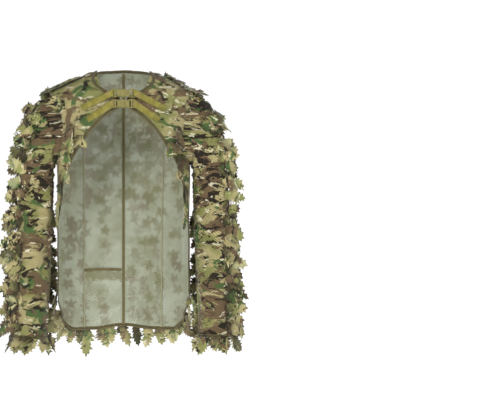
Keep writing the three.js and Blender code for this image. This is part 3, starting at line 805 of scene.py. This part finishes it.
leaf_face = leaf_material("leaf_print", underside=False)
leaf_back = leaf_material("leaf_reverse", underside=True)


def each(values):
    """One value for every leaf, ready to spread over its rows and columns of points."""
    return np.array(values, float)[:, None, None]


def leaf_strip(name, leaves, seed, node):
    """Sewn-down leaves as one cloth; each leaf gives its stem, outward way, heading and size."""
    rng = np.random.default_rng(seed)
    stem, normal, heading, length, width, lift, curl, droop, clear = map(each, zip(*leaves))
    n = len(stem)
    normal = unit(normal)
    heading = unit(heading - normal * np.sum(heading * normal, axis=-1, keepdims=True))
    sideways = np.cross(normal, heading)

    along = np.linspace(0, 1, LEAF_ROWS)
    outline = np.sin(math.pi * (0.07 + 0.93 * along) ** 0.8) ** 0.6
    waves = rng.uniform(1.5, 2.5, (n, 1)) * along + rng.uniform(0, 1, (n, 1))
    outline = outline * (1 + 0.17 * np.cos(2 * math.pi * waves))
    point = (np.arange(LEAF_ROWS) % 2 == 0) & (np.arange(LEAF_ROWS) > 0)
    tooth = np.where(point, TOOTH_TIP, TOOTH_ROOT) * rng.uniform(0.86, 1.12, (n, 2, LEAF_ROWS))
    edge = outline[:, None, :] * tooth * width / 2
    inner = outline * 0.34 * width[:, 0] / 2
    flat_x = np.stack([-edge[:, 0], -inner, 0 * inner, inner, edge[:, 1]], axis=2)
    sweep = np.where(point, TOOTH_SWEEP, 0.0)
    run = along[None, :, None] + np.stack([sweep, 0 * sweep, 0 * sweep, 0 * sweep, sweep], axis=1)[None]
    flat_y = run * length

    tilt = lift + curl * run
    forward = length / curl * (np.sin(tilt) - np.sin(lift))
    rise = -length / curl * (np.cos(tilt) - np.cos(lift))
    fold = rng.uniform(-0.15, 0.55, (n, 1, 1))
    twist = rng.uniform(-0.5, 0.5, (n, 1, 1))
    ripple = 0.0022 * np.sin(run * rng.uniform(7, 12, (n, 1, 1)) + rng.uniform(0, 6, (n, 1, 1)))
    height = fold * np.abs(flat_x) + twist * flat_x * run + ripple * np.abs(flat_x) / 0.02
    facing = normal * np.cos(tilt)[..., None] - heading * np.sin(tilt)[..., None]
    place = (stem + heading * forward[..., None] + normal * rise[..., None]
             + sideways * flat_x[..., None] * 0.97 + facing * height[..., None])
    place[..., 2] -= droop * run ** 2 * length
    reach = place - stem
    height_now = np.sum(reach * normal, axis=-1)
    spread = np.linalg.norm(reach, axis=-1)
    place += normal * np.maximum(0, STEM_CLEARANCE + clear * spread - height_now)[..., None]

    out = unit(np.cross(np.gradient(place, axis=1), np.gradient(place, axis=2)))
    out *= np.sign(np.sum(out * facing, axis=-1, keepdims=True).mean(axis=(1, 2), keepdims=True))
    half = out * LEAF_THICKNESS / 2
    verts = np.stack([place + half, place - half], axis=1).reshape(-1, 3)
    faces, ring, level, slots = cloth_faces(LEAF_COLUMNS, LEAF_ROWS, False)
    spin = rng.uniform(-0.7, 0.7, (n, 1, 1))
    where = each(rng.uniform(0, 30, (n, 2)))
    u = flat_x * np.cos(spin) - flat_y * np.sin(spin) + where[..., 0]
    v = flat_x * np.sin(spin) + flat_y * np.cos(spin) + where[..., 1]
    uv = np.stack([u, v], axis=-1)[:, level, ring]
    all_faces = faces[None] + np.arange(n)[:, None, None] * (2 * LEAF_ROWS * LEAF_COLUMNS)
    first = all_faces[0, 0]
    facing_out = np.cross(verts[first[1]] - verts[first[0]], verts[first[2]] - verts[first[0]])
    if np.dot(facing_out, out[0, 0, 0]) < 0:
        all_faces, uv = all_faces[..., ::-1], uv[..., ::-1, :]
    strip = new_object(name, verts, all_faces.reshape(-1, 4).tolist(), uv.reshape(-1, 2),
                       (leaf_face, leaf_back), np.tile(slots, n))

    tone_and_painted_shade = strip.data.attributes.new("leaf_tone_and_painted_shade", "FLOAT", "POINT")
    # Painted shade near the stem, where the leaf above would shade it, added to a tone that differs at
    # random from leaf to leaf.
    under = 0.42 * (1 - smooth(along / 0.55))[None, None, :, None]
    shade = rng.uniform(0, 0.9, (n, 1, 1, 1)) + under + np.zeros((1, 2, 1, LEAF_COLUMNS))
    tone_and_painted_shade.data.foreach_set("value", shade.ravel().astype(np.float32))
    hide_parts(node)
    return strip


def body_leaf(rng, a, z, heading, length, width, lift, curl, droop=0.1):
    """A leaf on the body; heading is 0 straight down and positive towards the wearer's left."""
    a, z = np.float64(a), np.float64(z)
    normal = body_normal(a, z)
    down = unit(body_skin(a, z - 0.002) - body_skin(a, z + 0.002))
    left = np.cross(down, normal)
    left = left if left[0] * math.cos(a) > 0 else -left
    size = rng.uniform(0.88, 1.14)
    return (body_point(a, z, BODY_LEAF_GAP), normal, down * math.cos(heading) + left * math.sin(heading),
            length * size, width * size * rng.uniform(0.9, 1.1),
            lift + rng.uniform(-0.08, 0.14), curl + rng.uniform(-0.3, 0.2), droop, 0.11)


def body_strip(name, leaves, seed, node):
    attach(leaf_strip(name, leaves, seed, node), "jacket_body")


COLUMN_PITCH = 0.074
BACK_ROW_PITCH = 0.036
HEM_LEAVES = 19
CUFF_LEAVES = 11
back_columns = (("centre", 0), ("left", 1), ("right", -1), ("far_left", 2), ("far_right", -2))
for number, (name, place) in enumerate(back_columns):
    rng = np.random.default_rng(200 + number)
    x = place * COLUMN_PITCH
    top = -0.020 - 0.022 * abs(place)
    bottom = float(hem_level(float(back_angle(x, -0.7)))) + 0.035
    rows = int((top - bottom) / BACK_ROW_PITCH)
    leaves = []
    for row in range(rows):
        z = top + (bottom - top) * (row + rng.uniform(-0.2, 0.2)) / (rows - 1)
        lift = 0.12 if z > -0.10 else 0.26
        sparse = name in ("left", "right") and rng.uniform() < 0.62
        for way in ((1, -1)[int(rng.integers(2))],) if sparse else (1, -1):
            heading = way * rng.uniform(0.85, 1.65)
            base_x = x - way * rng.uniform(0.000, 0.018)
            leaves.append(body_leaf(rng, back_angle(base_x, z), z, heading, rng.uniform(0.043, 0.055), 0.036,
                                    lift, -0.30))
        if rng.uniform() < 0.2:
            a = back_angle(x + rng.uniform(-0.01, 0.01), z)
            leaves.append(body_leaf(rng, a, z, rng.uniform(-0.5, 0.5), 0.046, 0.040, 0.45, -0.5))
    body_strip(f"leaves_back_{name}", leaves, 300 + number, f"leaf_strip_back_{name}")

for name, side in SIDES:
    rng = np.random.default_rng(400 + side)
    leaves = []
    for row in range(7):
        z = lerp(-0.165, -ARCH_END + 0.055, (row + rng.uniform(-0.2, 0.2)) / 6)
        outer = 0.178 - 0.012 * math.exp(-((z + 0.2) / 0.08) ** 2)
        inner = float(arch_half(z)) + 0.006
        x = side * max(outer - 0.012, inner)
        a = float(front_angle(x, z))
        leaves.append(body_leaf(rng, a, z, side * rng.uniform(-0.1, 0.8), 0.044, 0.036, 0.25, -0.35))
        if z < -0.18 and outer - inner > 0.03:
            inner_a = float(front_angle(side * (inner + 0.012), z))
            leaves.append(body_leaf(rng, inner_a, z, side * rng.uniform(0.1, 1.2), 0.040, 0.034, 0.2, -0.3))
    body_strip(f"leaves_chest_{name}", leaves, 500 + side, f"leaf_strip_front_{name}")
    leaves = []
    for row in range(4):
        for k in range(5):
            a = side * lerp(math.pi * 0.28, math.pi * 0.66, (k + rng.uniform(0, 1)) / 5)
            z = -0.025 - 0.012 * row - rng.uniform(0, 0.006)
            leaves.append(body_leaf(rng, a, z, rng.uniform(-0.9, 0.9), 0.038, 0.034, 0.04, -0.1))
    body_strip(f"leaves_shoulder_{name}", leaves, 520 + side, f"leaf_strip_shoulder_{name}")

rng = np.random.default_rng(600)
leaves = []
for k in range(HEM_LEAVES):
    a = lerp(-1, 1, (k + rng.uniform(-0.3, 0.3)) / (HEM_LEAVES - 1)) * math.radians(90)
    z = float(hem_level(a)) + 0.004
    size = rng.uniform(0.62, 1.05)
    leaves.append(body_leaf(rng, a, z, rng.uniform(-0.5, 0.5), 0.070 * size, 0.038, 0.10, 0.25, 0.05))
    if rng.uniform() < 0.4:
        leaves.append(body_leaf(rng, a + 0.03, z + 0.004, rng.uniform(-1.2, 1.2), 0.045, 0.034, 0.3, -0.3))
body_strip("leaves_hem", leaves, 601, "hem_leaf_fringe")


def sleeve_leaf(rng, side, turn, s, heading, length, width, lift, curl, droop=0.12):
    """A leaf on a sleeve; heading is 0 straight down and positive round towards the back."""
    def at(turn, s):
        return sleeve_point(side, turn, s, SLEEVE_LEAF_GAP)[0]

    point, out = sleeve_point(side, turn, s, SLEEVE_LEAF_GAP)
    down = at(turn, min(s + 0.01, 2.0)) - at(turn, s - 0.01)
    ahead = at(turn + 0.05, s) - at(turn - 0.05, s)
    size = rng.uniform(0.86, 1.14)
    return (point, out, unit(down) * math.cos(heading) + unit(ahead) * math.sin(heading),
            length * size, width * size * rng.uniform(0.9, 1.1),
            lift + rng.uniform(-0.08, 0.14), curl + rng.uniform(-0.2, 0.2), droop, 0.0)


def level_to_s(z):
    s = np.linspace(0, 2, 400)
    middle = (through(SLEEVE_OUTER, SLEEVE_KNOTS, s) + through(SLEEVE_INNER, SLEEVE_KNOTS, s))[:, 1] / 2
    return float(np.interp(-z, -middle, s))


SLEEVE_ROWS = (("upper", -0.150, -0.376, 9, shoulder_blend), ("lower", -0.408, -0.740, 13, elbow_blend))
# Each run along a sleeve: the level it starts below, its place round the sleeve and how far it
# wanders, the way and range of its leaves' headings, then their length, width, lift and curl.
# The runs nearest the body start lower, so that they stay clear of the underarm.
SLEEVE_RUNS = (
    (0.0, -1.0, 0.12, 1, (1.1, 1.7), (0.066, 0.044, 0.16, -0.12)),
    (0.0, -0.35, 0.2, 1, (0.7, 1.4), (0.050, 0.042, 0.35, -0.3)),
    (0.0, 0.9, 0.2, -1, (0.9, 1.6), (0.058, 0.044, 0.22, -0.2)),
    (-0.190, 1.4, 0.1, 1, (0.2, 1.3), (0.050, 0.042, 0.25, -0.35)),
    (-0.390, 2.15, 0.15, 1, (0.7, 1.3), (0.046, 0.038, 0.55, -0.3)),
)
for number, (name, side) in enumerate(SIDES):
    for part, level_from, level_to, rows, blend in SLEEVE_ROWS:
        rng = np.random.default_rng(700 + 10 * number + rows)
        leaves = []
        for row in range(rows):
            z = lerp(level_from, level_to, row / (rows - 1)) + rng.uniform(-0.006, 0.006)
            s = level_to_s(z)
            for starts, place, wander, way, headings, shape in SLEEVE_RUNS:
                if z < starts:
                    turn = place + rng.uniform(-wander, wander)
                    leaves.append(sleeve_leaf(rng, side, turn, s, way * rng.uniform(*headings), *shape))
        strip = leaf_strip(f"leaves_sleeve_{part}_{name}", leaves, 720 + 10 * number + rows,
                           f"leaf_strip_sleeve_{part}_{name}")
        blend(strip, name, side)
    rng = np.random.default_rng(760 + number)
    leaves = []
    for k in range(CUFF_LEAVES):
        turn = 2 * math.pi * (k + rng.uniform(-0.25, 0.25)) / CUFF_LEAVES
        heading = rng.uniform(-0.7, 0.7)
        leaves.append(sleeve_leaf(rng, side, turn, 1.985, heading, 0.050, 0.040, 0.12, 0.35, 0.1))
    strip = leaf_strip(f"leaves_cuff_{name}", leaves, 770 + number, f"cuff_leaf_fringe_{name}")
    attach(strip, f"lower_sleeve_{name}")

# Painted shadows: ragged darker patches on the net's pale side where leaves would block the light through
# it, in columns, scattered over the upper back and in a row under the cross seam, clearest low down.
SHADOW_COLUMNS = (-0.157, -0.112, -0.057, 0.031, 0.066, 0.104, 0.157)
rng = np.random.default_rng(900)
marks = [(x + rng.uniform(-0.013, 0.013), z + rng.uniform(-0.012, 0.012), rng.uniform(0.45, 1.0))
         for x in SHADOW_COLUMNS for z in np.arange(-0.06, -0.74, -0.029)]
marks += [(rng.uniform(-0.18, 0.18), rng.uniform(-0.38, -0.02), rng.uniform(0.4, 0.9)) for k in range(130)]
marks += [(x, CROSS_SEAM_LEVEL - 0.016, 0.9) for x in np.arange(-0.115, -0.010, 0.014)]
mark_shapes = rng.uniform(0, 2 * math.pi, (len(marks), 2))
mark_sizes = rng.uniform(0.012, 0.024, (len(marks), 2))
for name, side in SIDES:
    for panel in (f"back_net_{name}", f"side_net_{name}"):
        a, z = cloth_at[panel]
        x = body_skin(a, z)[..., 0]
        shadow = 0.30 * smooth((-z - 0.25) / 0.3) * np.max(
            [np.exp(-((x - at) / 0.016) ** 2) for at in SHADOW_COLUMNS], axis=0)
        for (mark_x, mark_z, depth), (first, second), (wide, tall) in zip(marks, mark_shapes, mark_sizes):
            way = np.arctan2(z - mark_z, x - mark_x)
            points = 1 + 0.30 * np.cos(5 * way + first) + 0.16 * np.cos(9 * way + second)
            away = np.hypot((x - mark_x) / wide, (z - mark_z) / tall) / points
            shadow = np.maximum(shadow, depth * (1 - smooth((away - 0.6) / 0.5)))
        mesh = bpy.data.objects[panel].data
        layer = mesh.attributes.new("painted_leaf_shadow", "FLOAT", "POINT")
        layer.data.foreach_set("value", np.tile(shadow.ravel(), 2).astype(np.float32))

# ---- Chest straps ----
# Four short pieces of olive webbing, sewn to the chest with a boxed cross and splayed downwards.
# Each turns straight at the middle, passes round the bar of its buckle and is sewn back on itself.
WEBBING_WIDTH = 0.019
WEBBING_THICKNESS = 0.0016
BOX_MIDDLE = 0.0105
BOX_HALF_LENGTH = 0.0085
BOX_HALF_WIDTH = 0.0068
STITCH_HALF = 0.0005
closures = (("upper", -0.076, (0.118, -0.119)), ("lower", -0.106, (0.100, -0.152)))
BUCKLE_Y = {name: -(float(body_half_depth(np.float64(level - 0.0125))) + 0.0015 + 0.0035 + 0.002 + 0.004)
            for name, level, sewn in closures}


def webbing_material():
    """Close ribbed weave, darker at the edges, with the boxed cross of stitches at its sewn end."""
    recipe = Recipe("olive_webbing", roughness=0.7, specular=0.35, sheen=0.35)
    coordinate = recipe.uv()
    along, across = recipe.axes(coordinate)
    picks = recipe.waves(recipe.plus(along, recipe.math("PINGPONG", across, 0.0032)), 0.0018)
    weave = recipe.times(recipe.plus(recipe.times(recipe.waves(across, 0.0016), 0.5), picks), 0.5)
    away = recipe.apart(across)
    from_middle = recipe.apart(along, BOX_MIDDLE)
    colour = recipe.patches(coordinate, (60, 4, 0.6), 0.35, 0.65, rgb(126, 119, 34), rgb(156, 148, 60))
    blotch = recipe.step(recipe.noise(recipe.moved(coordinate, shift=(2, 9, 0)), 42, 3, 0.6), 0.56, 0.62)
    colour = recipe.stain(colour, blotch, 0.55, rgb(160, 126, 88))
    colour = recipe.stain(colour, recipe.minus(0.6, weave), 0.30, rgb(70, 64, 26))
    colour = recipe.stain(colour, recipe.step(away, 0.0072, 0.0092), 0.55, rgb(80, 74, 28))

    def sewn_where(a, b):
        return recipe.node("ShaderNodeMath", {"operation": "COMPARE"}, _0=a, _1=b, _2=STITCH_HALF).outputs[0]

    box = recipe.math("MAXIMUM", sewn_where(from_middle, BOX_HALF_LENGTH), sewn_where(away, BOX_HALF_WIDTH))
    lines = recipe.math("MAXIMUM", box, sewn_where(away, recipe.times(from_middle, 0.8)))
    inside = recipe.times(recipe.math("LESS_THAN", from_middle, BOX_HALF_LENGTH + STITCH_HALF),
                          recipe.math("LESS_THAN", away, BOX_HALF_WIDTH + STITCH_HALF))
    stitch = recipe.times(lines, inside)
    height = recipe.minus(weave, recipe.times(stitch, 1.5))
    return recipe.finished(recipe.stain(colour, stitch, 0.8, rgb(84, 78, 34)), height, 0.6, 0.0005)


webbing_olive = webbing_material()
BAR_FRONT = 0.0052
RETURN_BEHIND = 0.0018
RETURN_FROM = 36
STRAP_ENDS = {1: 0.0268, -1: 0.0256}


def strap_line(side, level, sewn, name, under):
    """Up the chest, over the front of the buckle's end bar and into its slot; or back behind it."""
    v = np.linspace(0, 1, 90)
    bend = smooth((v - 0.55) / 0.38)
    x = lerp(sewn[0], STRAP_ENDS[side], v)
    z = lerp(sewn[1], level, np.minimum(1, v / 0.95))
    a = front_angle(side * x, z)
    lying = body_point(a, z, CLOTH_MIDDLE + 0.0034 - under)
    dive = smooth((v - 0.955) / 0.045)
    before_bar = BUCKLE_Y[name] + (BAR_FRONT if under else -BAR_FRONT) * (1 - dive)
    y = lerp(lying[:, 1], before_bar, bend)
    points = np.stack([lying[:, 0], y, lying[:, 2]], axis=1)
    return points, unit(lerp(body_normal(a, z), np.array([0.0, -1.0, 0.0]), bend[:, None]))


for name, level, sewn in closures:
    for side_name, side in SIDES:
        points, out = strap_line(side, level, sewn, name, 0.0)
        pull = band(f"{name}_webbing_{side_name}", points, out, WEBBING_WIDTH, WEBBING_THICKNESS,
                    webbing_olive)
        points, out = strap_line(side, level, sewn, name, RETURN_BEHIND)
        turned = band(f"{name}_webbing_return_{side_name}", points[RETURN_FROM:], out[RETURN_FROM:],
                      WEBBING_WIDTH * 0.97, WEBBING_THICKNESS, webbing_olive)
        for piece in (pull, turned):
            if side > 0:
                start = (sewn[0], -0.113, sewn[1])
                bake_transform(piece)
            else:
                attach(piece, "jacket_body")
        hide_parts(f"{name}_strap_{side_name}")

# ---- Buckles ----
# Two small side-release buckles, moulded in khaki acetal with a fine matt grain. The socket has
# thin face plates, waisted where the prongs spring out, and the plug has a ladder of two slots.
BUCKLE_MOUTH = 0.003
PLATE = 0.0016
TONGUE_HALF = 0.0015
HALF_DEPTH = 0.004
SLOT_ROUNDNESS = 0.4


def buckle_plastic():
    recipe = Recipe("khaki_buckle_plastic", roughness=0.42, specular=0.45)
    place = recipe.node("ShaderNodeTexCoord").outputs["Object"]
    grain = recipe.noise(place, 2600, 2, 0.6)
    colour = recipe.patches(place, (90, 4, 0.6), 0.3, 0.75, rgb(138, 130, 72), rgb(116, 108, 54))
    colour = recipe.stain(colour, grain, 0.12, rgb(70, 62, 30))
    return recipe.finished(colour, grain, 0.25, 0.0002)


khaki_plastic = buckle_plastic()


def rounded_outline(half_heights):
    """A closed outline, the same above and below, through half heights given along the buckle."""
    x, h = np.array(half_heights, float).T / 1000
    fine = np.linspace(0, len(x) - 1, 8 * len(x))
    xs = through(np.stack([x, h], axis=1), np.arange(len(x)), fine)
    return np.concatenate([xs, xs[::-1] * [1, -1]])


def slot_outline(x_from, x_to, half_height):
    turn = np.linspace(0, 2 * math.pi, 24, endpoint=False)
    middle, half = (x_from + x_to) / 2000, (x_to - x_from) / 2000
    x = middle + half * signed_power(np.cos(turn), SLOT_ROUNDNESS)
    z = half_height / 1000 * signed_power(np.sin(turn), SLOT_ROUNDNESS)
    return np.stack([x, z], axis=1)


def moulding(outlines, y_from, y_to, bevel=0.0005):
    """One moulded slab between two depths, with its holes and softened edges, as a mesh."""
    curve = bpy.data.curves.new("moulding", "CURVE")
    curve.dimensions = "2D"
    curve.fill_mode = "BOTH"
    curve.extrude = (y_to - y_from) / 2 - bevel
    curve.bevel_depth = bevel
    curve.bevel_resolution = 2
    curve.offset = -bevel
    for outline in outlines:
        spline = curve.splines.new("POLY")
        spline.points.add(len(outline) - 1)
        for point, (x, z) in zip(spline.points, outline):
            point.co = (x, z, 0, 1)
        spline.use_cyclic_u = True
    holder = in_scene("moulding", curve)
    graph = bpy.context.evaluated_depsgraph_get()
    mesh = bpy.data.meshes.new_from_object(holder.evaluated_get(graph))
    bpy.data.objects.remove(holder)
    for vertex in mesh.vertices:
        x, z, y = vertex.co
        vertex.co = (x, (y_from + y_to) / 2 - y, z)
    return mesh


def buckle_piece(name, slabs, level, y, node):
    shape = bmesh.new()
    for outlines, y_from, y_to in slabs:
        part = moulding(outlines, y_from, y_to)
        shape.from_mesh(part)
        bpy.data.meshes.remove(part)
    bmesh.ops.remove_doubles(shape, verts=shape.verts, dist=0.00002)
    bmesh.ops.recalc_face_normals(shape, faces=shape.faces)
    for vertex in shape.verts:
        vertex.co += Vector((BUCKLE_MOUTH, y, level))
    mesh = bpy.data.meshes.new(name)
    shape.to_mesh(mesh)
    shape.free()
    mesh.materials.append(khaki_plastic)
    piece = in_scene(name, mesh)
    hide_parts(node)
    return piece


# Outlines in millimetres from the buckle's mouth.
END_CORNER = ((-36, 8.5), (-35, 11), (-31, 12.3), (-26, 12.2))
SOCKET_EDGE = END_CORNER + ((-21, 10.2), (-15, 9.4), (-9, 10.2), (-4, 11.6), (-1, 11.8), (0, 11.0))
SOCKET_END = END_CORNER + ((-24, 11.4),)
PLUG_EDGE = ((0.5, 9.6), (1.5, 10.4), (5, 9.0), (9, 9.6), (13, 11.8), (20, 12.4), (27, 12.3), (30, 11),
             (30.5, 8.5))
socket_slots = [slot_outline(-32.5, -28.5, 10)]
socket_windows = socket_slots + [slot_outline(-23.5, -20.5, 8)]
plug_slots = [slot_outline(14, 17.5, 10), slot_outline(22.5, 26.5, 10)]
rail = np.array([(-9, 9.0), (-4, 9.6), (0, 9.6), (0, 11.0), (-1, 11.6), (-4, 11.4), (-9, 10.0)]) / 1000
tongue = np.array([(3, 2.2), (-15, 2.2), (-18, 1.0), (-18, -1.0), (-15, -2.2), (3, -2.2)]) / 1000
for name, level, sewn in closures:
    y = BUCKLE_Y[name]
    face = [rounded_outline(SOCKET_EDGE)] + socket_windows
    between = (-HALF_DEPTH + PLATE, HALF_DEPTH - PLATE)
    socket = buckle_piece(f"{name}_buckle_socket_moulded", (
        (face, -HALF_DEPTH, -HALF_DEPTH + PLATE), (face, HALF_DEPTH - PLATE, HALF_DEPTH),
        ([rounded_outline(SOCKET_END)] + socket_slots, *between),
        ([rail], *between), ([rail * [1, -1]], *between)), level, y, f"{name}_buckle_socket")
    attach(socket, "jacket_body")
    plug = buckle_piece(f"{name}_buckle_plug_moulded", (
        ([rounded_outline(PLUG_EDGE)] + plug_slots, -HALF_DEPTH, HALF_DEPTH),
        ([tongue], -TONGUE_HALF, TONGUE_HALF)), level, y, f"{name}_buckle_plug")
    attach(plug, f"{name}_plug")
    for prong in ("top", "bottom"):
        for slot in bpy.data.objects[f"{name}_buckle_prong_{prong}"].material_slots:
            slot.material = khaki_plastic

# ---- Studio ----
# A plain pale floor well below the hem and soft, even light from a white room, with large
# lamps in front and above.
FLOOR_LEVEL = -1.6
ROOM_LIGHT = 0.17
ROOM_WALL = 1.05
WHITE = (1, 1, 1, 1)
SEE_THROUGH_LAYERS = 32
LAMP_AIM = Vector((0, 0, -0.4))
LAMPS = (("key_lamp", (-1.6, -3.4, 1.6), 1.3, 92), ("fill_lamp", (2.6, -2.6, 0.4), 1.6, 32),
         ("back_key_lamp", (1.6, 3.4, 1.6), 1.3, 92), ("back_fill_lamp", (-2.6, 2.6, 0.4), 1.6, 32))
floor_recipe = Recipe("pale_floor", roughness=0.8)
floor_recipe.shader.inputs["Base Color"].default_value = (0.9, 0.9, 0.9, 1)
floor_recipe.shader.inputs["Emission Color"].default_value = WHITE
floor_recipe.shader.inputs["Emission Strength"].default_value = 0.95
bpy.ops.mesh.primitive_plane_add(size=60, location=(0, 0, FLOOR_LEVEL))
floor = bpy.context.object
floor.name = "studio_floor"
floor.data.materials.append(floor_recipe.material)

world = bpy.data.worlds.new("white_room")
world.use_nodes = True
room = world.node_tree
room_light = room.nodes["Background"]
room_wall = room.nodes.new("ShaderNodeBackground")
for shade, strength in ((room_light, ROOM_LIGHT), (room_wall, ROOM_WALL)):
    shade.inputs["Color"].default_value = WHITE
    shade.inputs["Strength"].default_value = strength
seen = room.nodes.new("ShaderNodeLightPath")
both = room.nodes.new("ShaderNodeMixShader")
room.links.new(seen.outputs["Is Camera Ray"], both.inputs[0])
room.links.new(room_light.outputs[0], both.inputs[1])
room.links.new(room_wall.outputs[0], both.inputs[2])
room.links.new(both.outputs[0], room.nodes["World Output"].inputs["Surface"])
bpy.context.scene.world = world
bpy.context.scene.view_settings.view_transform = "Standard"
bpy.context.scene.cycles.transparent_max_bounces = SEE_THROUGH_LAYERS

for name, place, size, power in LAMPS:
    light = bpy.data.lights.new(name, "AREA")
    light.shape = "SQUARE"
    light.size = size
    light.energy = power
    lamp = in_scene(name, light)
    lamp.location = place
    lamp.rotation_euler = (LAMP_AIM - Vector(place)).to_track_quat("-Z", "Y").to_euler()
